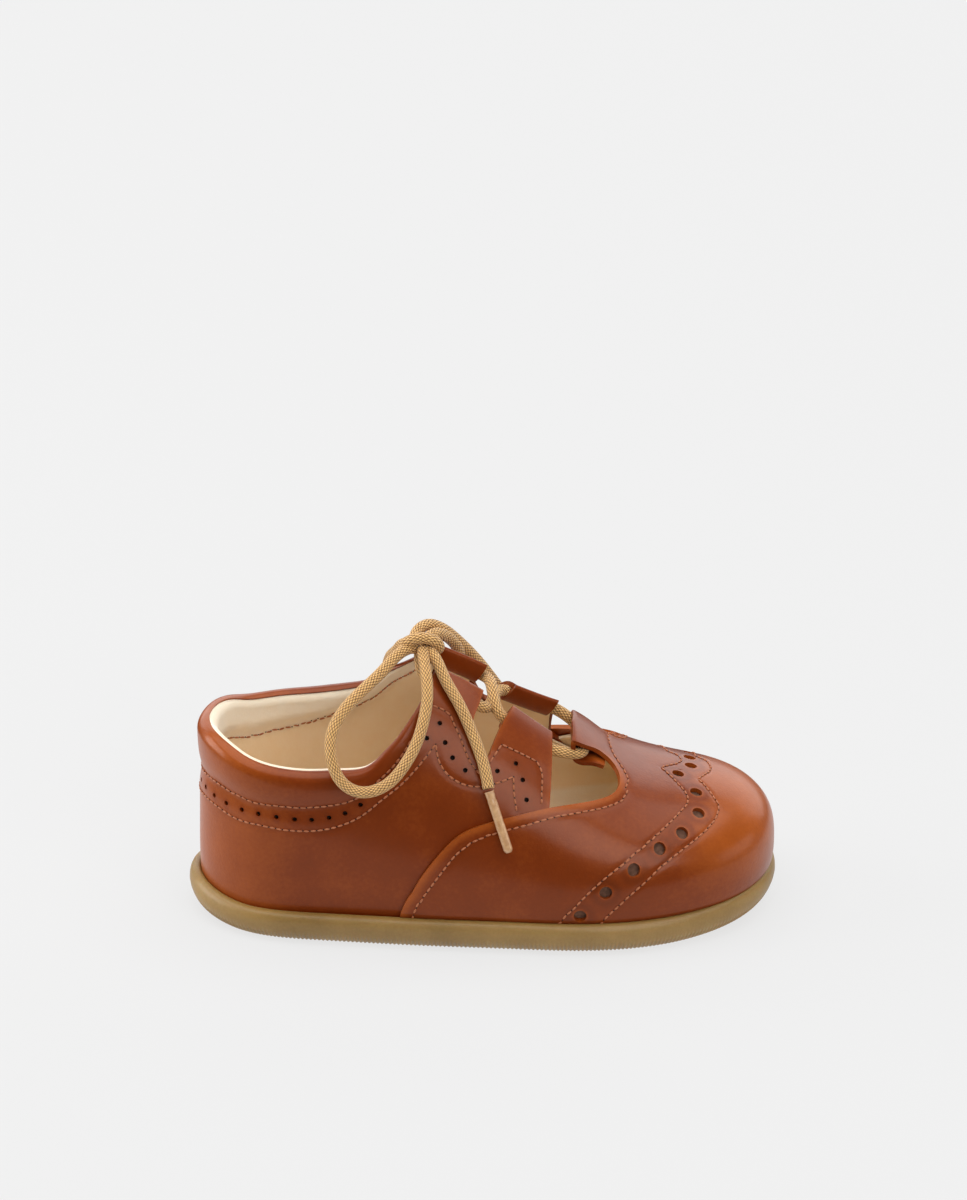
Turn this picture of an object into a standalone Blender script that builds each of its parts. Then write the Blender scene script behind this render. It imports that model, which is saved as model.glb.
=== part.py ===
"""A child's laced brogue: gum sole, leather upper on a true last, vamp overlay, lace tunnels, tied lace.

Right shoe, standing on its sole. +X points to the toe, -Y to the lateral (outer) side, +Z up.
All sizes in this script are millimetres; meshes are scaled to metres as they are made.
The upper's form is one function of two numbers: turn, the angle round the plan from the heel (0) by the
lateral side to the toe (pi) and back by the medial side (-pi), and rise, from the sole edge (0) to the
ridge (1).
"""

import math
from collections import namedtuple

import bmesh
import bpy
import numpy as np
from mathutils import Vector

# Driving sizes
METRES = 0.001
SOLE_LENGTH = 139.6
SOLE_LIP = 7.6  # height of the sole's rim at the side
SOLE_FLOOR = 4.6  # floor of the recess that takes the upper and the insole
UPPER_WALL = 2.0  # leather and lining together
VAMP_WALL = 1.1  # leather of the overlay
GAP = 0.3  # between neighbouring pieces
INSOLE_THICK = 2.3
LACE = 2.8  # diameter of the round lace
SPINE_HEEL = -46.0  # ends of the ridge line that the sections rise to
SPINE_TOE = 46.0
LOWER_SHARE = 0.16  # share of rise between the sole edge and the widest level
LATERAL, MEDIAL = 1, -1

# Plan of the sole's rim: share of the length from the heel, and reach to each side of the axis
PlanRow = namedtuple("PlanRow", "along lateral medial")
SOLE_PLAN = [
    PlanRow(0.00, 2.0, -2.0),
    PlanRow(0.05, 17.8, 14.6),
    PlanRow(0.12, 24.0, 19.6),
    PlanRow(0.24, 27.2, 21.6),
    PlanRow(0.40, 29.8, 22.6),
    PlanRow(0.54, 31.4, 25.6),
    PlanRow(0.66, 32.5, 29.8),
    PlanRow(0.77, 30.7, 32.4),
    PlanRow(0.86, 25.9, 31.0),
    PlanRow(0.94, 18.0, 24.6),
    PlanRow(1.00, -3.0, 3.0),
]

# Sections of the upper's form: margin inside the sole's rim, undercut at the sole, height of the widest
# level, fullness of the superellipse above it, and the ridge's offset from the axis
SectionRow = namedtuple("SectionRow", "along margin undercut widest fullness centre")
SECTIONS = [
    SectionRow(0.00, 2.7, 0.3, 28.0, 3.6, -2.0),
    SectionRow(0.12, 2.8, 0.5, 23.0, 2.7, -2.0),
    SectionRow(0.30, 2.8, 0.9, 16.0, 2.1, -1.6),
    SectionRow(0.50, 2.8, 1.2, 14.0, 2.0, -0.8),
    SectionRow(0.66, 2.8, 1.3, 13.5, 2.0, 0.0),
    SectionRow(0.80, 2.7, 1.3, 13.5, 2.3, 0.8),
    SectionRow(0.92, 2.1, 1.2, 14.0, 2.7, 2.0),
    SectionRow(1.00, 1.7, 1.1, 14.5, 3.1, 3.0),
]

# Ridge of the form in side view; behind the tabs it is the last's cone, which the collar cuts away
RidgeRow = namedtuple("RidgeRow", "x height")
RIDGE = [
    RidgeRow(-70, 92.0),
    RidgeRow(-46, 84.0),
    RidgeRow(-28, 74.0),
    RidgeRow(-12, 64.8),
    RidgeRow(0, 58.6),
    RidgeRow(8, 53.0),
    RidgeRow(16, 47.2),
    RidgeRow(24, 41.9),
    RidgeRow(33, 36.0),
    RidgeRow(42, 31.9),
    RidgeRow(52, 29.6),
    RidgeRow(70, 27.0),
]

# Top line of the collar, by share of the length
CollarRow = namedtuple("CollarRow", "along lateral medial")
COLLAR = [
    CollarRow(0.00, 49.6, 49.6),
    CollarRow(0.03, 47.6, 48.8),
    CollarRow(0.08, 44.8, 47.2),
    CollarRow(0.14, 43.2, 47.4),
    CollarRow(0.22, 42.8, 48.4),
    CollarRow(0.29, 44.8, 51.0),
    CollarRow(0.345, 49.2, 54.6),
    CollarRow(0.375, 54.0, 57.8),
    CollarRow(0.408, 59.6, 61.4),
]


def spline(knots, values, at):
    """Natural cubic through the knots, read at any points."""
    knots, values = np.asarray(knots, float), np.asarray(values, float)
    step = np.diff(knots)
    slope = np.diff(values) / step
    count = len(knots)
    left, right = np.eye(count), np.zeros(count)
    for i in range(1, count - 1):
        left[i, i - 1 : i + 2] = step[i - 1], 2 * (step[i - 1] + step[i]), step[i]
        right[i] = 6 * (slope[i] - slope[i - 1])
    bend = np.linalg.solve(left, right)
    at = np.asarray(at, float)
    i = np.clip(np.searchsorted(knots, at) - 1, 0, count - 2)
    t = at - knots[i]
    start = slope[i] - step[i] * (2 * bend[i] + bend[i + 1]) / 6
    return values[i] + t * (start + t * (bend[i] / 2 + t * (bend[i + 1] - bend[i]) / (6 * step[i])))


def column(table, name):
    return [getattr(row, name) for row in table]


def along_of(turn):
    return (1 - np.cos(turn)) / 2


def sole_plan(turn):
    """Rim of the sole in plan, as x and y."""
    turn = np.mod(np.asarray(turn, float) + math.pi, 2 * math.pi) - math.pi
    knots, reach = [], []
    for row in SOLE_PLAN[1:]:
        knots.append(math.acos(1 - 2 * row.along))
        reach.append(-row.lateral)
    for row in SOLE_PLAN[:-1]:
        knots.append(-math.acos(1 - 2 * row.along))
        reach.append(row.medial)
    order = np.argsort(knots)
    knots, reach = np.array(knots)[order], np.array(reach)[order]
    rounds = [knots + 2 * math.pi * lap for lap in (-1, 0, 1)]
    y = spline(np.concatenate(rounds), np.tile(reach, 3), turn)
    return SOLE_LENGTH * (along_of(turn) - 0.5), y


def inset_plan(turn, inset):
    """The sole's rim moved inwards."""
    small = 1e-3
    x, y = sole_plan(turn)
    ahead_x, ahead_y = sole_plan(np.asarray(turn) + small)
    behind_x, behind_y = sole_plan(np.asarray(turn) - small)
    run_x, run_y = ahead_x - behind_x, ahead_y - behind_y
    size = np.hypot(run_x, run_y)
    return x - inset * run_y / size, y + inset * run_x / size


def section(turn, name):
    return spline(column(SECTIONS, "along"), column(SECTIONS, name), along_of(turn))


def sole_level(turn):
    """Height at which the upper starts, on the floor of the sole's recess."""
    return SOLE_FLOOR + GAP + spring(turn)


def spring(turn):
    """How far toe and heel of the sole curl up."""
    along = along_of(turn)
    toe = np.clip((along - 0.80) / 0.20, 0, 1) ** 2 * 2.2
    heel = np.clip((0.10 - along) / 0.10, 0, 1) ** 2 * 1.4
    return toe + heel


def form(turn, rise):
    """Points on the outside of the upper's form, as an array of x, y, z."""
    turn, rise = np.broadcast_arrays(np.asarray(turn, float), np.asarray(rise, float))
    along = along_of(turn)
    wide_x, wide_y = inset_plan(turn, section(turn, "margin"))
    spine_x = SPINE_HEEL + (SPINE_TOE - SPINE_HEEL) * along
    spine_y = section(turn, "centre")
    reach = np.hypot(wide_x - spine_x, wide_y - spine_y)
    widest, full = section(turn, "widest"), section(turn, "fullness")
    foot = sole_level(turn)
    low = np.clip(rise / LOWER_SHARE, 0, 1)
    angle = np.clip((rise - LOWER_SHARE) / (1 - LOWER_SHARE), 0, 1) * math.pi / 2
    size = (np.cos(angle) ** full + np.sin(angle) ** full) ** (1 / full)
    share = np.cos(angle) / size - section(turn, "undercut") / reach * (1 - low) ** 2
    x = spine_x + (wide_x - spine_x) * share
    y = spine_y + (wide_y - spine_y) * share
    ridge = spline(column(RIDGE, "x"), column(RIDGE, "height"), x)
    z = foot + (widest - foot) * low + (ridge - widest) * np.sin(angle) / size
    return np.stack([x, y, z], axis=-1)


def outward(turn, rise):
    """Unit normals of the form."""
    small = 1e-4
    rise = np.clip(rise, small, 1 - 3 * small)
    round_it = form(turn + small, rise) - form(turn - small, rise)
    up_it = form(turn, rise + small) - form(turn, rise - small)
    normal = np.cross(round_it, up_it)
    return normal / np.linalg.norm(normal, axis=-1, keepdims=True)


def off_form(turn, rise, out):
    """Points a distance outside the form."""
    return form(turn, rise) + outward(turn, rise) * np.asarray(out)[..., None]


def rise_at(turn, height):
    """The rise at which the form reaches a height."""
    low, high = np.zeros_like(turn), np.ones_like(turn)
    for _ in range(40):
        middle = (low + high) / 2
        over = form(turn, middle)[..., 2] > height
        low, high = np.where(over, low, middle), np.where(over, middle, high)
    return (low + high) / 2


def place(side, x, z):
    """Turn and rise of the point of one side of the form that has this x and z."""
    x, z = np.asarray(x, float), np.asarray(z, float)
    turn = np.arccos(np.clip(-2 * x / SOLE_LENGTH, -0.98, 0.98))
    for _ in range(40):
        rise = rise_at(side * turn, z)
        miss = x - form(side * turn, rise)[..., 0]
        turn = np.clip(turn + miss / SOLE_LENGTH * 1.6, 0.02, math.pi - 0.02)
    return side * turn, rise_at(side * turn, z)


def place_top(x, y):
    """Turn and rise of the point of the form that lies at this place in the top view."""
    x, y = np.asarray(x, float), np.asarray(y, float)
    turn = np.arccos(np.clip(-x / SPINE_TOE, -0.98, 0.98))
    middle = section(turn, "centre")
    side = np.where(y < middle, LATERAL, MEDIAL)
    low, high = np.full_like(x, LOWER_SHARE), np.ones_like(x)
    for _ in range(60):
        rise = (low + high) / 2
        point = form(side * turn, rise)
        inner = np.abs(point[..., 1] - middle) > np.abs(y - middle)
        low, high = np.where(inner, rise, low), np.where(inner, high, rise)
        turn = np.clip(turn + (x - point[..., 0]) / SOLE_LENGTH, 0.02, math.pi - 0.02)
    return side * turn, rise


# Edges of the gap between the lace tabs and of the throat in front of them, the same on both sides
EdgeRow = namedtuple("EdgeRow", "x height")
TAB_GAP = [
    EdgeRow(-2.2, 52.0),
    EdgeRow(-1.3, 49.0),
    EdgeRow(0.4, 46.0),
    EdgeRow(2.4, 48.0),
]
THROAT_EDGE = [
    EdgeRow(16.0, 38.8),
    EdgeRow(15.6, 34.2),
    EdgeRow(22.9, 33.2),
    EdgeRow(28.8, 32.8),
    EdgeRow(32.2, 33.2),
    EdgeRow(33.4, 34.2),
]
THROAT_X = 34.0  # where the throat crosses the ridge
COLLAR_END = 0.385  # share of the length at which the collar meets the rear tab

# Rear and throat edge of the vamp overlay, from the sole up to the root of the centre strip
VAMP_EDGE = [
    EdgeRow(-18.9, 9.4),
    EdgeRow(-14.8, 18.0),
    EdgeRow(-10.9, 23.6),
    EdgeRow(-5.5, 29.2),
    EdgeRow(1.7, 32.2),
    EdgeRow(8.9, 33.7),
    EdgeRow(15.5, 34.5),
    EdgeRow(22.9, 34.4),
    EdgeRow(28.6, 34.1),
    EdgeRow(31.0, 34.4),
    EdgeRow(31.9, 35.3),
    EdgeRow(31.2, 36.5),
]
STRIP_END = 28.6  # rear end of the centre strip, where its tunnel starts
STRIP_HALF = 6.2

# Padded roll of the collar
ROLL_DEPTH = 11.0
ROLL_OUT = 0.9
ROLL_IN = 2.8

# Lace tunnels: ends of each axis in the top view, how far it lies under the form
TunnelRow = namedtuple("TunnelRow", "name side rear_x rear_y front_x front_y")
TUNNELS = [
    TunnelRow("lace_tunnel_lateral_rear", LATERAL, -11.6, -7.6, -0.2, -8.4),
    TunnelRow("lace_tunnel_lateral_front", LATERAL, 7.4, -7.4, 16.0, -8.0),
    TunnelRow("lace_tunnel_medial_rear", MEDIAL, -11.6, 6.6, -0.2, 7.6),
    TunnelRow("lace_tunnel_medial_front", MEDIAL, 7.4, 7.0, 16.0, 8.0),
]
TUNNEL_SINK = 2.2
TUNNEL_RADIUS = 2.5
TUNNEL_TAIL = 1.4  # how much further the folded leather reaches down to its tab
TUNNEL_HOLE = LACE / 2 + GAP
LOOP_X, LOOP_HEIGHT, LOOP_HALF = 23.6, 41.7, 7.0

# Rounds of the sole: how far inside the rim, and height, at the side, the heel and the toe
SoleRow = namedtuple("SoleRow", "inset inset_end height")
SOLE_ROUNDS = [
    SoleRow(20.0, 20.0, 0.0),
    SoleRow(9.0, 10.0, 0.0),
    SoleRow(1.9, 4.2, 0.0),
    SoleRow(1.0, 2.2, 0.7),
    SoleRow(0.25, 0.6, 2.4),
    SoleRow(0.0, 0.0, 4.6),
    SoleRow(0.15, 0.15, 6.1),
    SoleRow(0.7, 0.7, 7.2),
]
LIP_EXTRA_HEEL = 0.8
SOLE_STEPS = 96

# Route points of the lace, as x, y, z
KNOT_CENTRE = (-14.4, -2.0, 67.2)
KNOT_SIZE = (4.2, 3.9, 3.1)
BOW_LATERAL = [
    (-18.8, -4.6, 67.0), (-23.6, -10.5, 64.6), (-31.4, -18.2, 60.2), (-36.2, -23.0, 53.8),
    (-35.8, -26.2, 46.0), (-32.8, -27.0, 41.4), (-28.8, -27.2, 39.8), (-24.4, -27.0, 40.4),
    (-20.8, -26.6, 42.4), (-17.2, -25.2, 46.2), (-14.8, -23.2, 50.2), (-13.0, -20.0, 55.2),
    (-12.4, -16.2, 60.0), (-13.4, -8.6, 65.2),
]
END_LATERAL = [
    (-10.6, -6.6, 65.6), (-8.2, -10.8, 62.4), (-5.4, -14.2, 58.6), (-1.8, -18.8, 52.2),
    (1.0, -23.0, 45.6), (2.0, -25.8, 41.0),
]
AGLET_LATERAL = [(2.1, -26.2, 40.4), (6.6, -30.6, 26.6)]
BOW_MEDIAL = [
    (-16.2, 1.9, 70.6), (-13.0, 4.8, 71.2), (-9.0, 8.4, 68.4), (-5.0, 11.8, 63.8), (-1.0, 14.6, 58.4),
    (2.6, 18.2, 51.4), (5.0, 22.6, 43.4), (3.8, 25.2, 37.4), (-0.6, 25.6, 35.4), (-5.0, 24.8, 38.8),
    (-8.4, 22.2, 46.0), (-10.8, 18.0, 54.0), (-12.4, 11.4, 61.6), (-13.0, 5.2, 66.2),
]
END_MEDIAL = [
    (-18.7, 0.7, 66.2), (-20.6, 4.2, 63.2), (-22.2, 9.0, 59.6), (-23.3, 14.2, 55.6), (-24.2, 18.3, 50.4),
    (-24.7, 19.7, 43.4),
]
AGLET_MEDIAL = [(-24.7, 19.85, 42.8), (-25.2, 21.0, 28.6)]
AGLET_RADIUS = 1.3
CORD_STEP = 6.4


def route(points, step):
    """Smooth curve through the points, read at about equal steps."""
    points = np.asarray(points, float)
    run = np.concatenate([[0], np.cumsum(np.linalg.norm(np.diff(points, axis=0), axis=1))])
    count = max(2, int(round(run[-1] / step)) + 1)
    at = np.linspace(0, run[-1], count)
    return np.stack([spline(run, points[:, i], at) for i in range(3)], axis=-1)


def lip_height(turn):
    """Top of the sole's rim."""
    heel = np.clip((0.12 - along_of(turn)) / 0.12, 0, 1) ** 2
    return SOLE_LIP + LIP_EXTRA_HEEL * heel + spring(turn)


def collar_height(turn):
    along = along_of(turn)
    lateral = spline(column(COLLAR, "along"), column(COLLAR, "lateral"), along)
    medial = spline(column(COLLAR, "along"), column(COLLAR, "medial"), along)
    return np.where(turn > 0, lateral, medial)


def padding(turn, rise):
    """Share of the collar's padding at a place, 0 to 1."""
    depth = (collar_height(turn) - form(turn, rise)[..., 2]) / ROLL_DEPTH
    roll = np.sin(math.pi * np.clip(depth * 0.85 + 0.15, 0, 1)) ** 1.2
    ends = np.clip((COLLAR_END - along_of(turn)) / 0.07, 0, 1)
    return roll * ends * ends * (3 - 2 * ends)


def finer(corners, steps):
    """Corner points with steps added between them."""
    corners = np.asarray(corners, float)
    rows = []
    for a, b in zip(corners[:-1], corners[1:]):
        rows += [a + (b - a) * i / steps for i in range(steps)]
    return np.array(rows + [corners[-1]])


def below(row, shares):
    """Places on the form just under the tail of a lace tunnel."""
    shares = np.asarray(shares, float)
    x = row.rear_x + (row.front_x - row.rear_x) * shares
    y = row.rear_y + (row.front_y - row.rear_y) * shares
    turn, high = place_top(x, y)
    start, low = form(turn, high), np.full_like(x, LOWER_SHARE)
    for _ in range(40):
        rise = (low + high) / 2
        far = np.linalg.norm(form(turn, rise) - start, axis=-1) > TUNNEL_RADIUS + TUNNEL_TAIL + 7 * GAP
        low, high = np.where(far, rise, low), np.where(far, high, rise)
    return np.stack([turn, rise], axis=-1)


def placed(side, table):
    rows = finer([(row.x, row.height) for row in table], 2)
    return np.stack(place(side, rows[:, 0], rows[:, 1]), axis=-1)


def tab_edge(side):
    """Edge of collar and tabs of one side in the flat pattern, from the heel to the ridge."""
    turn = np.linspace(0, math.acos(1 - 2 * COLLAR_END), 26)[1:] * side
    collar = np.stack([turn, rise_at(turn, collar_height(turn))], axis=-1)
    rear, front = [row for row in TUNNELS if row.side == side]
    tabs = [below(rear, (-0.1, 0.3, 0.7, 1.0)), placed(side, TAB_GAP), below(front, (-0.3, 0.2, 0.6, 1.0))]
    throat = placed(side, THROAT_EDGE)
    ridge = math.acos(-THROAT_X / SPINE_TOE)
    crown = finer([throat[-1], (side * ridge, 1.0)], 5)[1:]
    return np.concatenate([collar, *tabs, throat, crown])


def vamp_edge(side):
    """Edge of the vamp of one side in the flat pattern, from the sole to the centre strip."""
    edge = placed(side, VAMP_EDGE)
    strip_x = np.array([30.0, STRIP_END, STRIP_END, STRIP_END])
    strip_y = np.array([STRIP_HALF, STRIP_HALF, STRIP_HALF * 0.6, STRIP_HALF * 0.25]) * -side
    strip = np.stack(place_top(strip_x, strip_y), axis=-1)
    ridge = [(side * math.acos(-STRIP_END / SPINE_TOE), 1.0)]
    return np.concatenate([edge, strip, ridge])


def make_object(name, mesh_or_curve, material_name):
    thing = bpy.data.objects.new(name, mesh_or_curve)
    bpy.data.collections[SHOE].objects.link(thing)
    thing.data.materials.append(bpy.data.materials[material_name])
    return thing


def finish(name, bm, material_name):
    """Turn a bmesh in millimetres into an object in metres."""
    bmesh.ops.scale(bm, vec=Vector((METRES, METRES, METRES)), verts=bm.verts)
    mesh = bpy.data.meshes.new(name)
    bm.to_mesh(mesh)
    bm.free()
    return make_object(name, mesh, material_name)


def wrapped(outline, turns, rises, lift):
    """Flat pattern cut into strips both ways, then laid on the form; joins where two edges meet."""
    bm = bmesh.new()
    bm.faces.new([bm.verts.new((turn, rise, 0)) for turn, rise in outline])
    for turn in turns:
        cut(bm, (turn, 0, 0), (1, 0, 0))
    for rise in rises:
        cut(bm, (0, rise, 0), (0, 1, 0))
    bmesh.ops.triangulate(bm, faces=bm.faces)
    flat = np.array([vert.co[:2] for vert in bm.verts])
    solid = off_form(flat[:, 0], flat[:, 1], lift(flat[:, 0], flat[:, 1]))
    for vert, point in zip(bm.verts, solid):
        vert.co = point
    pad = padding(flat[:, 0], flat[:, 1])
    layer = bm.verts.layers.float.new("pad")
    for vert, value in zip(bm.verts, pad):
        vert[layer] = value
    bmesh.ops.remove_doubles(bm, verts=bm.verts, dist=0.09)
    bmesh.ops.dissolve_degenerate(bm, edges=bm.edges, dist=0.02)
    bmesh.ops.recalc_face_normals(bm, faces=bm.faces)
    return bm


def cut(bm, at, normal):
    everything = bm.verts[:] + bm.edges[:] + bm.faces[:]
    bmesh.ops.bisect_plane(bm, geom=everything, dist=1e-7, plane_co=at, plane_no=normal)


def thicken(thing, thickness, group_name=""):
    """Give a wrapped sheet its wall, inwards from the outside."""
    wall = thing.modifiers.new("wall", "SOLIDIFY")
    wall.thickness = thickness * METRES
    wall.offset = -1
    wall.use_rim = True
    wall.vertex_group = group_name


def loft(rings, closed_ends):
    """Rounds of points joined in order; the first and last are filled, or joined to each other."""
    bm = bmesh.new()
    rounds = [[bm.verts.new(point) for point in ring] for ring in rings]
    pairs = list(zip(rounds[:-1], rounds[1:]))
    if not closed_ends:
        pairs.append((rounds[-1], rounds[0]))
    for low, high in pairs:
        for i in range(len(low)):
            j = (i + 1) % len(low)
            bm.faces.new((low[i], low[j], high[j], high[i]))
    if closed_ends:
        bm.faces.new(rounds[0][::-1])
        bm.faces.new(rounds[-1])
    bmesh.ops.triangulate(bm, faces=bm.faces)
    bmesh.ops.recalc_face_normals(bm, faces=bm.faces)
    return bm


def floor_lift(x):
    """Toe and heel spring of the sole by place along it."""
    return spring(np.arccos(np.clip(-2 * x / SOLE_LENGTH, -1, 1)))


def make_outsole():
    turn = np.linspace(-math.pi, math.pi, SOLE_STEPS, endpoint=False)
    end = np.abs(np.cos(turn)) ** 6
    rings = []
    for row in SOLE_ROUNDS:
        x, y = inset_plan(turn, row.inset + (row.inset_end - row.inset) * end)
        rise = row.height / SOLE_LIP
        height = floor_lift(x) + rise * (lip_height(turn) - spring(turn))
        rings.append(np.stack([x, y, height], axis=-1))
    top = lip_height(turn)
    inner = off_form(turn, rise_at(turn, top), np.full_like(turn, GAP))
    outer = rings[-1]
    crest = inner + (outer - inner) * 0.45
    crest[:, 2] = top
    inner[:, 2] = top - 0.5
    floor = off_form(turn, np.zeros_like(turn), np.full_like(turn, GAP))
    floor[:, 2] = form(turn, 0)[:, 2] - GAP
    rings += [crest, inner, floor]
    for inset in (12.0, 20.0):
        x, y = inset_plan(turn, inset)
        rings.append(np.stack([x, y, SOLE_FLOOR + floor_lift(x)], axis=-1))
    return finish("outsole", loft(rings, True), "gum_rubber")


def make_insole():
    turn = np.linspace(-math.pi, math.pi, SOLE_STEPS, endpoint=False)
    rings = []
    for inset in (20.0, 12.0):
        x, y = inset_plan(turn, inset)
        rings.append(np.stack([x, y, SOLE_FLOOR + GAP + floor_lift(x)], axis=-1))
    for height in (0.0, INSOLE_THICK - 0.5, INSOLE_THICK):
        level = form(turn, 0)[:, 2] + height
        inside = UPPER_WALL + 2 * GAP + 0.5 * (height == INSOLE_THICK)
        ring = off_form(turn, rise_at(turn, level), np.full_like(turn, -inside))
        ring[:, 2] = level
        rings.append(ring)
    for inset in (12.0, 20.0):
        x, y = inset_plan(turn, inset)
        rings.append(np.stack([x, y, SOLE_FLOOR + GAP + INSOLE_THICK + floor_lift(x)], axis=-1))
    return finish("insole", loft(rings, True), "insole_fabric")


def make_upper():
    feet = [(-math.pi, 0.0), (math.pi, 0.0)]
    toe = [(math.pi, 1.0)]
    lateral = [tuple(point) for point in tab_edge(LATERAL)[::-1]]
    heel = [(0.0, float(rise_at(np.zeros(1), collar_height(np.zeros(1)))[0]))]
    medial = [tuple(point) for point in tab_edge(MEDIAL)]
    back = [(-math.pi, 1.0)]
    outline = feet + toe + lateral + heel + medial + back
    turns = np.linspace(-math.pi, math.pi, 73)[1:-1]
    rises = np.linspace(0, 1, 15)[1:-1]
    bm = wrapped(outline, turns, rises, lambda turn, rise: ROLL_OUT * padding(turn, rise))
    bm.verts.ensure_lookup_table()
    layer = bm.verts.layers.float["pad"]
    weights = [(UPPER_WALL + ROLL_IN * vert[layer]) / (UPPER_WALL + ROLL_IN) for vert in bm.verts]
    upper = finish("upper", bm, "brown_leather")
    group = upper.vertex_groups.new(name="wall")
    for index, weight in enumerate(weights):
        group.add([index], weight, "REPLACE")
    thicken(upper, UPPER_WALL + ROLL_IN, "wall")
    return upper


def make_vamp():
    lateral, medial = vamp_edge(LATERAL), vamp_edge(MEDIAL)
    medial[:, 0] += 2 * math.pi
    low = np.linspace(medial[0][0], lateral[0][0], 56)[1:-1]
    foot = list(zip(low, rise_at(low, lip_height(low) + GAP + 0.2)))
    outline = [tuple(point) for point in lateral] + [tuple(point) for point in medial[::-1]] + foot
    turns = np.linspace(0, 2 * math.pi, 73)[1:-1]
    rises = np.linspace(0, 1, 13)[1:-1]
    bm = wrapped(outline, turns, rises, lambda turn, rise: np.full_like(turn, GAP + VAMP_WALL))
    vamp = finish("vamp", bm, "brown_leather")
    thicken(vamp, VAMP_WALL)
    return vamp


def drop(centre, axis, out, radii):
    """Round of points about an axis; the first one points down the tab, away from the ridge."""
    out = out - axis * np.dot(out, axis)
    out = out / np.linalg.norm(out)
    tail = np.cross(out, axis)
    if tail[2] > 0:
        tail = -tail
    angle = np.linspace(0, 2 * math.pi, len(radii), endpoint=False)
    spread = np.cos(angle)[:, None] * tail + np.sin(angle)[:, None] * out
    return centre + spread * radii[:, None]


def tunnel(name, ends, outs, material_name):
    """Folded leather round a straight hole: a drop-shaped section whose tail points down its tab."""
    rear, front = np.asarray(ends[0], float), np.asarray(ends[1], float)
    axis = (front - rear) / np.linalg.norm(front - rear)
    angle = np.linspace(0, 2 * math.pi, 24, endpoint=False)
    away = np.minimum(angle, 2 * math.pi - angle)
    outer = TUNNEL_RADIUS + TUNNEL_TAIL * np.exp(-((away / 0.5) ** 2))
    hole = np.full(len(angle), TUNNEL_HOLE)
    rear_out, front_out = np.asarray(outs[0], float), np.asarray(outs[1], float)
    rings = [
        drop(rear, axis, rear_out, hole),
        drop(rear, axis, rear_out, outer),
        drop(front, axis, front_out, outer),
        drop(front, axis, front_out, hole),
    ]
    return finish(name, loft(rings, False), material_name)


def tunnel_axis(row):
    """Ends of a lace tunnel and the outward directions there."""
    turn, rise = place_top(np.array([row.rear_x, row.front_x]), np.array([row.rear_y, row.front_y]))
    return off_form(turn, rise, np.full(2, -TUNNEL_SINK)), outward(turn, rise)


def straight(rear, front):
    """Points that hold the lace straight through a tunnel and a little past its ends."""
    rear, front = np.asarray(rear, float), np.asarray(front, float)
    return [rear + (front - rear) * share for share in (-0.14, 0.1, 0.5, 0.9, 1.14)]


def crossing_route():
    """Route of the lace from the knot through tunnels and across the throat, back to the knot."""
    way = {row.name: straight(*tunnel_axis(row)[0]) for row in TUNNELS}
    lateral_rear, lateral_front = way["lace_tunnel_lateral_rear"], way["lace_tunnel_lateral_front"]
    medial_rear, medial_front = way["lace_tunnel_medial_rear"], way["lace_tunnel_medial_front"]
    under = (lateral_rear[-1] + medial_front[0]) / 2 + (0, 0, -1.0)
    over = (medial_rear[-1] + lateral_front[0]) / 2 + (0, 0, 2.4)
    loop = straight((LOOP_X, LOOP_HALF, LOOP_HEIGHT), (LOOP_X, -LOOP_HALF, LOOP_HEIGHT))
    corners = [(-15.6, -6.6, 61.8)] + lateral_rear + [under] + medial_front
    corners += [(20.8, 11.2, 41.9)] + loop + [(20.8, -11.2, 41.9)]
    corners += lateral_front[::-1] + [over] + medial_rear[::-1] + [(-15.6, 5.0, 61.8)]
    return corners


def cord(name, points, radius, material_name):
    """Round cord along points."""
    curve = bpy.data.curves.new(name, "CURVE")
    curve.dimensions = "3D"
    curve.bevel_depth = radius * METRES
    curve.bevel_resolution = 2
    curve.use_fill_caps = True
    line = curve.splines.new("POLY")
    line.points.add(len(points) - 1)
    for spot, point in zip(line.points, points):
        spot.co = (*(np.asarray(point) * METRES), 1)
    return make_object(name, curve, material_name)


def make_knot():
    bm = bmesh.new()
    bmesh.ops.create_uvsphere(bm, u_segments=20, v_segments=12, radius=1)
    bmesh.ops.scale(bm, vec=Vector(KNOT_SIZE), verts=bm.verts)
    bmesh.ops.translate(bm, vec=Vector(KNOT_CENTRE), verts=bm.verts)
    return finish("lace_knot", bm, "tan_cord")


# Colours, as red, green, blue, and roughness
MaterialRow = namedtuple("MaterialRow", "name colour roughness")
MATERIALS = [
    MaterialRow("gum_rubber", (0.33, 0.22, 0.09), 0.5),
    MaterialRow("insole_fabric", (0.55, 0.38, 0.22), 0.85),
    MaterialRow("brown_leather", (0.20, 0.05, 0.015), 0.35),
    MaterialRow("tan_cord", (0.52, 0.29, 0.10), 0.7),
    MaterialRow("clear_tip", (0.55, 0.33, 0.18), 0.25),
]
SHOE = "childs_brogue"

for old in list(bpy.data.objects):
    bpy.data.objects.remove(old)
bpy.context.scene.collection.children.link(bpy.data.collections.new(SHOE))
for row in MATERIALS:
    material = bpy.data.materials.new(row.name)
    material.use_nodes = True
    shader = material.node_tree.nodes["Principled BSDF"]
    shader.inputs["Base Color"].default_value = (*row.colour, 1)
    shader.inputs["Roughness"].default_value = row.roughness

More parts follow.
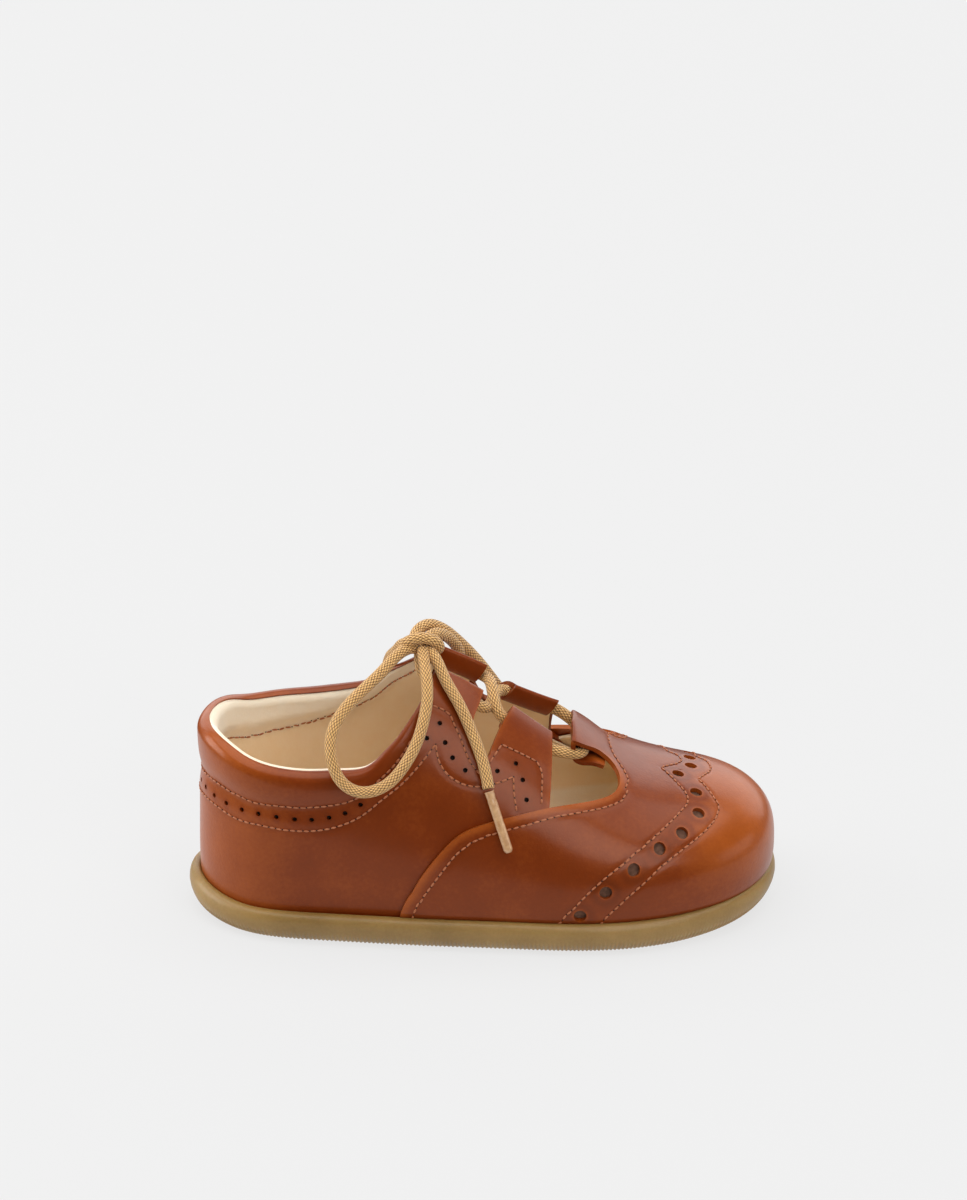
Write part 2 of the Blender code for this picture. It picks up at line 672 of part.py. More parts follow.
make_outsole()
make_insole()
make_upper()
make_vamp()
for row in TUNNELS:
    tunnel(row.name, *tunnel_axis(row), "brown_leather")
loop_ends = (LOOP_X, -LOOP_HALF, LOOP_HEIGHT), (LOOP_X, LOOP_HALF, LOOP_HEIGHT)
tunnel("vamp_loop", loop_ends, [(0.45, 0, 0.9)] * 2, "brown_leather")
cord("lace_crossings", route(crossing_route(), 3.0), LACE / 2, "tan_cord")
make_knot()
cord("lace_bow_lateral", route(BOW_LATERAL, CORD_STEP), LACE / 2, "tan_cord")
cord("lace_bow_medial", route(BOW_MEDIAL, CORD_STEP), LACE / 2, "tan_cord")
cord("lace_end_lateral", route(END_LATERAL, CORD_STEP), LACE / 2, "tan_cord")
cord("lace_end_medial", route(END_MEDIAL, CORD_STEP), LACE / 2, "tan_cord")
cord("aglet_lateral", AGLET_LATERAL, AGLET_RADIUS, "clear_tip")
cord("aglet_medial", AGLET_MEDIAL, AGLET_RADIUS, "clear_tip")
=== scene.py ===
import math

import bmesh
import bpy
import numpy as np
from mathutils import Matrix, Vector
from mathutils.bvhtree import BVHTree
from mathutils.geometry import delaunay_2d_cdt
from mathutils.kdtree import KDTree


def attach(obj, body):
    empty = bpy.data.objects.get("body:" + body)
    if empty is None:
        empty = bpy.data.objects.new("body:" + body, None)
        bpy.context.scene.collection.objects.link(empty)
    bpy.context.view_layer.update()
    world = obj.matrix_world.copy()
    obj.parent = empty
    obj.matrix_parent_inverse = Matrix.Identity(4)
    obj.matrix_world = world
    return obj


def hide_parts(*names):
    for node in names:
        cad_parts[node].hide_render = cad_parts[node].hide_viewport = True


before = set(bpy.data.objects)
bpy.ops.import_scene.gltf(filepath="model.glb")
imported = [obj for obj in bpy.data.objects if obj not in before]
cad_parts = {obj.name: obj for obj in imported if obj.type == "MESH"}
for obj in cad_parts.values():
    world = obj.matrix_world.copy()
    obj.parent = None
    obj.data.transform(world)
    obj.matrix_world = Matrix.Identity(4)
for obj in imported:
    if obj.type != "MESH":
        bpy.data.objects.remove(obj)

# A child's laced brogue, right shoe: +X to the toe, -Y to the lateral side, +Z up.
# Everything is worked out in millimetres and scaled once, when a mesh becomes a piece.
mm = 0.001
lateral, medial = 1, -1
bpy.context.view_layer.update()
scene = bpy.context.scene
scene.view_settings.view_transform = "Standard"
print("frame loaded")


# Small tools
def smoothThrough(knots, values, at):  # natural cubic, read at any points
    knots, values = np.asarray(knots, float), np.asarray(values, float)
    step = np.diff(knots)
    slope = np.diff(values) / step
    count = len(knots)
    left, right = np.eye(count), np.zeros(count)
    for i in range(1, count - 1):
        left[i, i - 1 : i + 2] = step[i - 1], 2 * (step[i - 1] + step[i]), step[i]
        right[i] = 6 * (slope[i] - slope[i - 1])
    bend = np.linalg.solve(left, right)
    at = np.asarray(at, float)
    i = np.clip(np.searchsorted(knots, at) - 1, 0, count - 2)
    t = at - knots[i]
    start = slope[i] - step[i] * (2 * bend[i] + bend[i + 1]) / 6
    return values[i] + t * (start + t * (bend[i] / 2 + t * (bend[i + 1] - bend[i]) / (6 * step[i])))


def routeThrough(points, step, curved=True):  # even steps along a curve, or along straight runs
    points = np.asarray(points, float)
    run = np.concatenate([[0], np.cumsum(np.linalg.norm(np.diff(points, axis=0), axis=1))])
    at = np.linspace(0, run[-1], max(2, int(round(run[-1] / step)) + 1))
    if curved and len(points) > 2:
        return np.stack([smoothThrough(run, axis, at) for axis in points.T], axis=-1)
    return np.stack([np.interp(at, run, axis) for axis in points.T], axis=-1)


def ease(low, high, value):
    share = np.clip((value - low) / (high - low), 0, 1)
    return share * share * (3 - 2 * share)


def unit(vectors):
    vectors = np.asarray(vectors, float)
    return vectors / np.linalg.norm(vectors, axis=-1, keepdims=True)


def bell(away, width):  # 1 on a line, fading over a width either side of it
    return np.exp(-((away / width) ** 2))


def treeOf(points):
    tree = KDTree(len(points))
    for index, point in enumerate(points):
        tree.insert(point, index)
    tree.balance()
    return tree


def distanceTo(targets, places):
    tree = treeOf(targets)
    return np.array([tree.find(place)[2] for place in places])


# The last, the form that the shoe is made on. It is read by turn, the angle round the plan from the heel (0)
# by the lateral side to the toe (pi), negative on the medial side, and by rise, from the sole's edge (0)
# to the ridge (1).
lastShape = {
    "soleLength": 139.6,
    "soleFloor": 4.6,
    "soleLip": 7.6,
    "heelLip": (0.12, 0.8),  # share of the length, and extra height of the sole's rim at the heel
    "footGap": 0.3,  # from the sole's floor to the foot of the upper
    "toeSpring": (0.80, 2.2),  # share of the length where the toe starts to curl up, and how far
    "heelSpring": (0.10, 1.4),
    "spineReach": 46.0,
    "lowerShare": 0.16,
    # share of the length from the heel, reach to the lateral and to the medial side
    "plan": [
        (0.00, 2.0, -2.0), (0.05, 17.8, 14.6), (0.12, 24.0, 19.6), (0.24, 27.2, 21.6), (0.40, 29.8, 22.6),
        (0.54, 31.4, 25.6), (0.66, 32.5, 29.8), (0.77, 30.7, 32.4), (0.86, 25.9, 31.0), (0.94, 18.0, 24.6),
        (1.00, -3.0, 3.0),
    ],
    # share of the length, margin inside the sole's rim, undercut, widest level, fullness, ridge's offset
    "sections": [
        (0.00, 2.7, 0.3, 28.0, 3.6, -2.0), (0.12, 2.8, 0.5, 23.0, 2.7, -2.0), (0.30, 2.8, 0.9, 16.0, 2.1, -1.6),
        (0.50, 2.8, 1.2, 14.0, 2.0, -0.8), (0.66, 2.8, 1.3, 13.5, 2.0, 0.0), (0.80, 2.7, 1.3, 13.5, 2.3, 0.8),
        (0.92, 2.1, 1.2, 14.0, 2.7, 2.0), (1.00, 1.7, 1.1, 14.5, 3.1, 3.0),
    ],
    # x and height of the ridge
    "ridge": [
        (-70, 92.0), (-46, 84.0), (-28, 74.0), (-12, 64.8), (0, 58.6), (8, 53.0), (16, 47.2), (24, 41.9),
        (33, 36.0), (42, 31.9), (52, 29.6), (70, 27.0),
    ],
    # share of the length, height of the collar's top line, lateral and medial
    "collar": [
        (0.00, 49.6, 49.6), (0.03, 47.6, 48.8), (0.08, 44.8, 47.2), (0.14, 43.2, 47.4), (0.22, 42.8, 48.4),
        (0.29, 44.8, 51.0), (0.345, 49.2, 54.6), (0.375, 54.0, 57.8), (0.408, 59.6, 61.4),
    ],
}
margin, undercut, widest, fullness, centre = 1, 2, 3, 4, 5  # columns of the sections


def alongOf(turn):
    return (1 - np.cos(turn)) / 2


def rimPlan(turn):
    turn = np.mod(np.asarray(turn, float) + math.pi, 2 * math.pi) - math.pi
    knots = [math.acos(1 - 2 * row[0]) for row in lastShape["plan"][1:]]
    reach = [-row[1] for row in lastShape["plan"][1:]]
    knots += [-math.acos(1 - 2 * row[0]) for row in lastShape["plan"][:-1]]
    reach += [row[2] for row in lastShape["plan"][:-1]]
    order = np.argsort(knots)
    knots, reach = np.array(knots)[order], np.array(reach)[order]
    laps = np.concatenate([knots + 2 * math.pi * lap for lap in (-1, 0, 1)])
    return lastShape["soleLength"] * (alongOf(turn) - 0.5), smoothThrough(laps, np.tile(reach, 3), turn)


def insetRim(turn, inset):
    small = 1e-3
    x, y = rimPlan(turn)
    aheadX, aheadY = rimPlan(np.asarray(turn) + small)
    behindX, behindY = rimPlan(np.asarray(turn) - small)
    runX, runY = aheadX - behindX, aheadY - behindY
    size = np.hypot(runX, runY)
    return x - inset * runY / size, y + inset * runX / size


def spineOf(turn):  # the middle line that each turn's section leans on
    return lastShape["spineReach"] * (2 * alongOf(turn) - 1), sectionOf(turn, centre)


def floorRing(turn, share, level):  # the rim drawn in towards the middle line, to close a floor
    x, y = rimPlan(turn)
    spineX, spineY = spineOf(turn)
    x, y = spineX + (x - spineX) * share, spineY + (y - spineY) * share
    return np.stack([x, y, level + floorLift(x)], axis=-1)


def sectionOf(turn, column):
    rows = lastShape["sections"]
    return smoothThrough([row[0] for row in rows], [row[column] for row in rows], alongOf(turn))


def springOf(turn):  # how far toe and heel of the sole curl up
    along = alongOf(turn)
    toe, toeUp = lastShape["toeSpring"]
    heel, heelUp = lastShape["heelSpring"]
    return np.clip((along - toe) / (1 - toe), 0, 1) ** 2 * toeUp + np.clip((heel - along) / heel, 0, 1) ** 2 * heelUp


def floorLift(x):
    return springOf(np.arccos(np.clip(-2 * x / lastShape["soleLength"], -1, 1)))


def lipHeight(turn):
    reach, extra = lastShape["heelLip"]
    heel = np.clip((reach - alongOf(turn)) / reach, 0, 1) ** 2
    return lastShape["soleLip"] + extra * heel + springOf(turn)


def lastPoint(turn, rise):
    turn, rise = np.broadcast_arrays(np.asarray(turn, float), np.asarray(rise, float))
    wideX, wideY = insetRim(turn, sectionOf(turn, margin))
    spineX, spineY = spineOf(turn)
    reach = np.hypot(wideX - spineX, wideY - spineY)
    wide, full = sectionOf(turn, widest), sectionOf(turn, fullness)
    foot = lastShape["soleFloor"] + lastShape["footGap"] + springOf(turn)
    low = np.clip(rise / lastShape["lowerShare"], 0, 1)
    angle = np.clip((rise - lastShape["lowerShare"]) / (1 - lastShape["lowerShare"]), 0, 1) * math.pi / 2
    size = (np.cos(angle) ** full + np.sin(angle) ** full) ** (1 / full)
    share = np.cos(angle) / size - sectionOf(turn, undercut) / reach * (1 - low) ** 2
    x = spineX + (wideX - spineX) * share
    y = spineY + (wideY - spineY) * share
    ridge = smoothThrough([row[0] for row in lastShape["ridge"]], [row[1] for row in lastShape["ridge"]], x)
    return np.stack([x, y, foot + (wide - foot) * low + (ridge - wide) * np.sin(angle) / size], axis=-1)


def lastNormal(turn, rise):
    small = 1e-4
    rise = np.clip(rise, small, 1 - 3 * small)
    across = lastPoint(turn + small, rise) - lastPoint(turn - small, rise)
    up = lastPoint(turn, rise + small) - lastPoint(turn, rise - small)
    return unit(np.cross(across, up))


def offLast(turn, rise, out):
    turn, rise = np.asarray(turn, float), np.asarray(rise, float)
    return lastPoint(turn, rise) + lastNormal(turn, rise) * np.broadcast_to(out, turn.shape)[..., None]


def riseAt(turn, height):
    low, high = np.zeros_like(turn), np.ones_like(turn)
    for _ in range(32):
        middle = (low + high) / 2
        over = lastPoint(turn, middle)[..., 2] > height
        low, high = np.where(over, low, middle), np.where(over, middle, high)
    return (low + high) / 2


def collarHeight(turn, side):
    rows = lastShape["collar"]
    return smoothThrough([row[0] for row in rows], [row[1 if side == lateral else 2] for row in rows], alongOf(turn))


# Finishes
def newFinish(name, sockets):
    finish = bpy.data.materials.new(name)
    finish.use_nodes = True
    shader = finish.node_tree.nodes["Principled BSDF"]
    for socket, value in sockets.items():
        shader.inputs[socket].default_value = value
    return finish, finish.node_tree, shader


def addNode(tree, kind, sockets, **settings):
    node = tree.nodes.new("ShaderNode" + kind)
    for key, value in settings.items():
        setattr(node, key, value)
    for socket, value in sockets.items():
        if isinstance(value, bpy.types.NodeSocket):
            tree.links.new(value, node.inputs[socket])
        else:
            node.inputs[socket].default_value = value
    return node


def sums(tree, operation, first, second=0.0):
    return addNode(tree, "Math", {0: first, 1: second}, operation=operation).outputs[0]


def rampOf(tree, share, stops):
    ramp = addNode(tree, "ValToRGB", {"Fac": share})
    while len(ramp.color_ramp.elements) < len(stops):
        ramp.color_ramp.elements.new(0.5)
    for element, (position, colour) in zip(ramp.color_ramp.elements, stops):
        element.position = position
        element.color = (*colour, 1)
    return ramp.outputs["Color"]


def objectPlace(tree):
    return addNode(tree, "TexCoord", {}).outputs["Object"]


def noiseOf(tree, size, detail=2.0, rough=0.5):  # size of the mottling in millimetres
    look = {"Vector": objectPlace(tree), "Scale": 1 / (size * mm), "Detail": detail, "Roughness": rough}
    return addNode(tree, "TexNoise", look).outputs["Fac"]


def swing(tree, noise, size):  # noise brought to either side of nothing
    return sums(tree, "MULTIPLY", sums(tree, "SUBTRACT", noise, 0.5), size)


def attributeOf(tree, name):
    return addNode(tree, "Attribute", {}, attribute_name=name).outputs["Fac"]


def bumpInto(tree, shader, height, depth):  # depth in millimetres
    bump = addNode(tree, "Bump", {"Height": height, "Distance": depth * mm, "Strength": 1.0})
    tree.links.new(bump.outputs["Normal"], shader.inputs["Normal"])


leatherLook = {
    "burnished": (0.060, 0.009, 0.002),
    "brown": (0.180, 0.026, 0.002),
    "lit": (0.430, 0.098, 0.013),
    "roughness": (0.34, 0.44),
    "specular": 0.50,
    "specularTint": (1.0, 0.42, 0.18),
    "coat": 0.30,
    "coatRoughness": 0.20,
    # size in millimetres, and how far it swings the tone
    "mottling": (11.0, 0.30),
    "speckle": (0.9, 0.16),
    "grain": 0.42,
    "grainDepth": 0.026,
}


def leatherFinish(name, look):
    finish, tree, shader = newFinish(name, {
        "Coat Weight": look["coat"], "Coat Roughness": look["coatRoughness"],
        "Specular IOR Level": look["specular"], "Specular Tint": (*look["specularTint"], 1),
    })
    cloudSize, cloudSwing = look["mottling"]
    speckSize, speckSwing = look["speckle"]
    cloudy = swing(tree, noiseOf(tree, cloudSize, 3.0, 0.55), cloudSwing)
    speckle = swing(tree, noiseOf(tree, speckSize, 2.0, 0.6), speckSwing)
    tone = sums(tree, "ADD", sums(tree, "ADD", attributeOf(tree, "shade"), cloudy), speckle)
    colour = rampOf(tree, tone, [(0.0, look["burnished"]), (0.5, look["brown"]), (1.0, look["lit"])])
    tree.links.new(colour, shader.inputs["Base Color"])
    low, high = look["roughness"]
    rough = addNode(tree, "MapRange", {"Value": noiseOf(tree, 3.0, 4.0, 0.6), "To Min": low, "To Max": high})
    tree.links.new(rough.outputs[0], shader.inputs["Roughness"])
    grain = {"Vector": objectPlace(tree), "Scale": 1 / (look["grain"] * mm)}
    pores = addNode(tree, "TexVoronoi", grain, feature="SMOOTH_F1").outputs["Distance"]
    creases = sums(tree, "MULTIPLY", noiseOf(tree, 2.2, 5.0, 0.65), 1.2)
    bumpInto(tree, shader, sums(tree, "ADD", pores, creases), look["grainDepth"])
    return finish


liningLook = {
    "hide": (0.860, 0.640, 0.380),
    "band": (0.930, 0.830, 0.660),
    "roughness": 0.78,
    "sheen": 0.25,
    "nap": 0.5,
}


def liningFinish(name, look):
    finish, tree, shader = newFinish(name, {
        "Roughness": look["roughness"], "Sheen Weight": look["sheen"], "Sheen Roughness": 0.5,
    })
    tone = sums(tree, "ADD", attributeOf(tree, "band"), swing(tree, noiseOf(tree, 2.5, 4.0, 0.65), 0.5))
    tree.links.new(rampOf(tree, tone, [(0.0, look["hide"]), (1.0, look["band"])]), shader.inputs["Base Color"])
    bumpInto(tree, shader, noiseOf(tree, look["nap"], 3.0, 0.6), 0.05)
    return finish


gumLook = {
    "dark": (0.225, 0.128, 0.031),
    "light": (0.350, 0.208, 0.058),
    "roughness": 0.46,
    "ribPitch": 3.2,  # faint ribs under the sole
    "ribDepth": 14.0,
}


def gumFinish(name, look):
    finish, tree, shader = newFinish(name, {
        "Roughness": look["roughness"], "Subsurface Weight": 0.12, "Subsurface Scale": 0.002, "Coat Weight": 0.08,
    })
    tone = sums(tree, "ADD", noiseOf(tree, 14.0, 3.0, 0.5), swing(tree, noiseOf(tree, 0.7, 3.0, 0.6), 0.35))
    tree.links.new(rampOf(tree, tone, [(0.25, look["dark"]), (0.75, look["light"])]), shader.inputs["Base Color"])
    wave = {"Vector": objectPlace(tree), "Scale": 0.314 / (look["ribPitch"] * mm)}
    ribs = addNode(tree, "TexWave", wave, wave_profile="SIN").outputs["Fac"]
    tread = sums(tree, "MULTIPLY", sums(tree, "MULTIPLY", ribs, attributeOf(tree, "tread")), look["ribDepth"])
    bumpInto(tree, shader, sums(tree, "ADD", tread, noiseOf(tree, 0.5, 3.0, 0.6)), 0.06)
    return finish


cordLook = {
    # colour by strand height: painted shade in the gaps, painted highlight on the crowns
    "gap": (0.110, 0.045, 0.010),
    "strand": (0.600, 0.300, 0.085),
    "crown": (0.880, 0.545, 0.210),
    "around": 12,  # strands each way round the lace
    "pick": 1.25,  # millimetres along the lace for one strand to pass one other
}


def cordFinish(name, look):
    finish, tree, shader = newFinish(name, {"Roughness": 0.62, "Sheen Weight": 0.2, "Sheen Roughness": 0.4})
    place = addNode(tree, "SeparateXYZ", {0: addNode(tree, "UVMap", {}, uv_map="lay").outputs[0]})
    across = sums(tree, "MULTIPLY", place.outputs[0], float(look["around"]))
    along = sums(tree, "MULTIPLY", place.outputs[1], 1 / look["pick"])
    one, two = sums(tree, "ADD", across, along), sums(tree, "SUBTRACT", across, along)
    squares = sums(tree, "ADD", sums(tree, "FLOOR", one), sums(tree, "FLOOR", two))
    parity = sums(tree, "ABSOLUTE", sums(tree, "MODULO", squares, 2.0))

    def crown(share):  # one strand's rounded back
        off = sums(tree, "SUBTRACT", sums(tree, "MULTIPLY", sums(tree, "FRACT", share), 2.0), 1.0)
        return sums(tree, "SUBTRACT", 1.0, sums(tree, "MULTIPLY", off, off))

    backOne, backTwo = crown(one), crown(two)

    def crossed(upper, lower):  # a strand's back where it passes over another
        return sums(tree, "MULTIPLY", upper, sums(tree, "ADD", 0.45, sums(tree, "MULTIPLY", lower, 0.55)))

    over, under = crossed(backOne, backTwo), crossed(backTwo, backOne)
    height = addNode(tree, "Mix", {0: parity, 2: over, 3: under}).outputs[0]
    # painted shade in the gaps and painted highlight on the strands' crowns, from their height
    tint = sums(tree, "ADD", height, swing(tree, noiseOf(tree, 0.6, 2.0), 0.5))
    colour = rampOf(tree, tint, [(0.14, look["gap"]), (0.46, look["strand"]), (0.95, look["crown"])])
    tree.links.new(colour, shader.inputs["Base Color"])
    bumpInto(tree, shader, height, 0.22)
    return finish


def plainFinish(name, dark, light, sockets, size, depth):
    finish, tree, shader = newFinish(name, sockets)
    cloudy = noiseOf(tree, size, 3.0, 0.6)
    tree.links.new(rampOf(tree, cloudy, [(0.3, dark), (0.7, light)]), shader.inputs["Base Color"])
    bumpInto(tree, shader, cloudy, depth)
    return finish


brownLeather = leatherFinish("brown_leather", leatherLook)
beigeLining = liningFinish("beige_lining", liningLook)
gumRubber = gumFinish("gum_rubber_sole", gumLook)
tanBraid = cordFinish("tan_braid", cordLook)
matt = {"Roughness": 0.9}
waxedThread = plainFinish("waxed_thread", (0.36, 0.100, 0.034), (0.50, 0.175, 0.068), {"Roughness": 0.5}, 0.35, 0.05)
# painted shade for needle holes and inside the small punched holes
holeShade = plainFinish("painted_hole_shade", (0.010, 0.004, 0.002), (0.022, 0.008, 0.004), matt, 0.8, 0.05)
fittedSock = plainFinish("insole_sock", (0.84, 0.66, 0.44), (0.90, 0.74, 0.52), {"Roughness": 0.8}, 0.6, 0.05)
paleBacking = plainFinish("pale_backing", (0.10, 0.045, 0.025), (0.20, 0.10, 0.06), matt, 0.8, 0.05)
clearTip = plainFinish(
    "clear_tip", (0.44, 0.22, 0.09), (0.66, 0.40, 0.20),
    {"Roughness": 0.3, "Coat Weight": 1.0, "Coat Roughness": 0.06}, 1.2, 0.03,
)
print("finishes ready")


# Making meshes
def makePiece(name, bm, finish, nodes=()):
    bmesh.ops.scale(bm, vec=Vector((mm, mm, mm)), verts=bm.verts)
    for face in bm.faces:
        face.smooth = True
    for edge in bm.edges:
        edge.smooth = not edge.is_boundary
    mesh = bpy.data.meshes.new(name)
    bm.to_mesh(mesh)
    bm.free()
    mesh.materials.append(finish)
    piece = bpy.data.objects.new(name, mesh)
    scene.collection.objects.link(piece)
    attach(piece, "root")
    if nodes:
        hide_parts(*nodes)
    print(name, len(mesh.polygons), "faces")
    return piece


def thicken(piece, thickness):  # a wall inwards from the outside, its raw edges kept crisp
    wall = piece.modifiers.new("wall", "SOLIDIFY")
    wall.thickness = thickness * mm
    wall.offset = -1
    wall.use_rim = True


def laySheet(bm, rows):  # a grid moved onto rows of points, the same number in each
    rows = np.asarray(rows, float)
    tall, wide = rows.shape[:2]
    made = bmesh.ops.create_grid(bm, x_segments=wide - 1, y_segments=tall - 1, size=1, calc_uvs=True)["verts"]
    for vert in made:
        i, j = round((vert.co.x + 1) / 2 * (wide - 1)), round((vert.co.y + 1) / 2 * (tall - 1))
        vert.co = rows[j, i]
    return made


def closeRings(rows):  # rings laid one after another, closed at both ends
    bm = bmesh.new()
    laySheet(bm, rows)
    bmesh.ops.remove_doubles(bm, verts=bm.verts, dist=1e-4)
    bmesh.ops.holes_fill(bm, edges=[edge for edge in bm.edges if edge.is_boundary], sides=0)
    bmesh.ops.recalc_face_normals(bm, faces=bm.faces)
    return bm


def meshOf(places, faces):
    mesh = bpy.data.meshes.new("pattern")
    mesh.from_pydata(places.tolist(), [], faces)
    bm = bmesh.new()
    bm.from_mesh(mesh)
    bpy.data.meshes.remove(mesh)
    return bm


def paint(bm, name, values):
    layer = bm.verts.layers.float.new(name)
    for vert, value in zip(bm.verts, values):
        vert[layer] = float(value)


def placesOf(bm):
    return np.array([vert.co for vert in bm.verts])


def stampAll(shape, matrices):  # one small shape repeated at many places, as one mesh
    shape.verts.ensure_lookup_table()
    corners = np.array([(*vert.co, 1.0) for vert in shape.verts])
    faces = sorted([vert.index for vert in face.verts] for face in shape.faces)  # in the same order each run
    spots = np.concatenate([(corners @ np.array(matrix).T)[:, :3] for matrix in matrices])
    repeats = [[i + len(corners) * number for i in face] for number in range(len(matrices)) for face in faces]
    shape.free()
    return meshOf(spots, repeats)


patternScale = np.array([52.0, 78.0])  # millimetres on the shoe for one unit of turn and of rise, about


def insideOf(points, loop):
    inside = np.zeros(len(points), bool)
    for (ax, ay), (bx, by) in zip(loop, np.roll(loop, -1, axis=0)):
        if ay != by:
            crosses = (ay > points[:, 1]) != (by > points[:, 1])
            inside ^= crosses & (points[:, 0] < (bx - ax) * (points[:, 1] - ay) / (by - ay) + ax)
    return inside


# Cuts a flat pattern out with its holes, fills it with an even net, and wraps it on the last
def wrapPanel(outline, holes, spacing, liftOf):
    loops = [np.asarray(loop, float) * patternScale for loop in [outline, *holes]]
    low, high = loops[0].min(axis=0), loops[0].max(axis=0)
    net = []
    for index, row in enumerate(np.arange(low[1], high[1], spacing * 0.866)):
        across = np.arange(low[0] + spacing * (0.25 + 0.5 * (index % 2)), high[0], spacing)
        net.append(np.stack([across, np.full_like(across, row)], axis=1))
    net = np.concatenate(net)
    net = net[insideOf(net, loops[0])]
    for loop in loops[1:]:
        near = np.abs(net - loop.mean(axis=0)).max(axis=1) < np.ptp(loop, axis=0).max()
        net = net[~(near & insideOf(net, loop))]
    border = np.concatenate(loops)
    flatBorder = np.column_stack([border, np.zeros(len(border))])
    net = net[distanceTo(flatBorder, np.column_stack([net, np.zeros(len(net))])) > 0.5 * spacing]
    edges, owner, first = [], [], 0
    for number, loop in enumerate(loops):
        count = len(loop)
        edges += [(first + i, first + (i + 1) % count) for i in range(count)]
        owner += [number] * count
        first += count
    owner += [0] * len(net)
    cut = delaunay_2d_cdt([Vector(point) for point in np.concatenate([border, net])], edges, [], 1, 1e-5)
    flat = np.array([tuple(point) for point in cut[0]]) / patternScale
    kept = [max((owner[i] for i in source), default=0) for source in cut[3]]
    faces = [(a, b, c) for a, b, c in cut[2] if not (kept[a] and kept[a] == kept[b] == kept[c])]
    places = lastPoint(flat[:, 0], flat[:, 1])
    solid = places + lastNormal(flat[:, 0], flat[:, 1]) * liftOf(flat, places)[:, None]
    bm = meshOf(solid, faces)
    loose = [vert for vert in bm.verts if not vert.link_faces]
    bmesh.ops.delete(bm, geom=loose, context="VERTS")
    return bm


def patternRun(points, spacing, curved=True):  # an edge of the pattern in even steps
    return routeThrough(np.asarray(points, float) * patternScale, spacing, curved) / patternScale


def insetRun(run, inset):  # an edge moved to its right, seen along it
    flat = np.asarray(run) * patternScale
    way = unit(np.gradient(flat, axis=0))
    return (flat + np.stack([way[:, 1], -way[:, 0]], axis=1) * np.asarray(inset)[..., None]) / patternScale


def punched(turn, rise, radius, steps):  # a round hole, as a loop in the pattern
    spot, out = lastPoint(turn, rise), lastNormal(np.array(turn), np.array(rise))
    side = unit(np.cross(out, (0, 0, 1)))
    angle = np.linspace(0, 2 * math.pi, steps, endpoint=False)[:, None]
    goal = spot + radius * (np.cos(angle) * side + np.sin(angle) * np.cross(side, out))
    loop, small = np.tile((turn, rise), (steps, 1)).astype(float), 1e-4
    for _ in range(5):  # least squares for both numbers at every point of the loop
        here = lastPoint(*loop.T)
        byTurn = (lastPoint(loop[:, 0] + small, loop[:, 1]) - here) / small
        byRise = (lastPoint(loop[:, 0], loop[:, 1] + small) - here) / small
        tt, tr, rr = (byTurn * byTurn).sum(1), (byTurn * byRise).sum(1), (byRise * byRise).sum(1)
        mt, mr = (byTurn * (goal - here)).sum(1), (byRise * (goal - here)).sum(1)
        loop += np.stack([rr * mt - tr * mr, tt * mr - tr * mt], axis=1) / (tt * rr - tr * tr)[:, None]
    return loop


def framesAlong(run, out, hint):  # points of an edge, the way out of the shoe, and the way off the panel
    places = offLast(run[:, 0], run[:, 1], out)
    normals = lastNormal(run[:, 0], run[:, 1])
    way = unit(np.gradient(places, axis=0))
    off = unit(np.cross(normals, way))
    off *= np.where((off * hint).sum(axis=1) < 0, -1, 1)[:, None]
    return places, normals, off


def tubeFrames(path):
    path = np.asarray(path, float)
    way = unit(np.gradient(path, axis=0))
    side = unit(np.cross(way[0], (0.3, 0.2, 1.0)))
    sides = []
    for step in way:
        side = unit(side - step * np.dot(side, step))
        sides.append(side)
    sides = np.array(sides)
    return path, sides, np.cross(way, sides)


def layTube(bm, path, radii, around):  # a round cord or tube, with its own lay of u round it and v along it
    path, sides, ups = tubeFrames(path)
    angle = np.linspace(0, 2 * math.pi, around + 1)
    radii = np.broadcast_to(radii, len(path))
    rows = path[:, None] + radii[:, None, None] * (
        np.cos(angle)[None, :, None] * sides[:, None] + np.sin(angle)[None, :, None] * ups[:, None]
    )
    lay = bm.loops.layers.uv.get("lay") or bm.loops.layers.uv.new("lay")
    made = laySheet(bm, rows)
    length = np.linalg.norm(np.diff(path, axis=0), axis=1).sum()
    for face in {face for vert in made for face in vert.link_faces}:
        for loop in face.loops:
            loop[lay].uv.y *= length
    bmesh.ops.remove_doubles(bm, verts=made, dist=1e-4)
    rims = [edge for edge in bm.edges if edge.is_boundary]
    bmesh.ops.holes_fill(bm, edges=rims, sides=0)
    bmesh.ops.recalc_face_normals(bm, faces=bm.faces)


# Thread, and the groove that it pulls into the leather
threadLook = {
    "pitch": 1.65, "length": 1.36, "width": 0.50, "height": 0.38, "lift": 0.10,
    # needle holes are small dark dents of painted shade
    "needleHole": 0.38, "needleDepth": 0.16,
}
grooveLook = {"depth": 0.13, "width": 0.5}


def rowOn(points, step=0.35, out=0.0):  # a row of stitching given in turn and rise, as points in space
    points = np.asarray(points, float)
    return routeThrough(offLast(points[:, 0], points[:, 1], out), step)


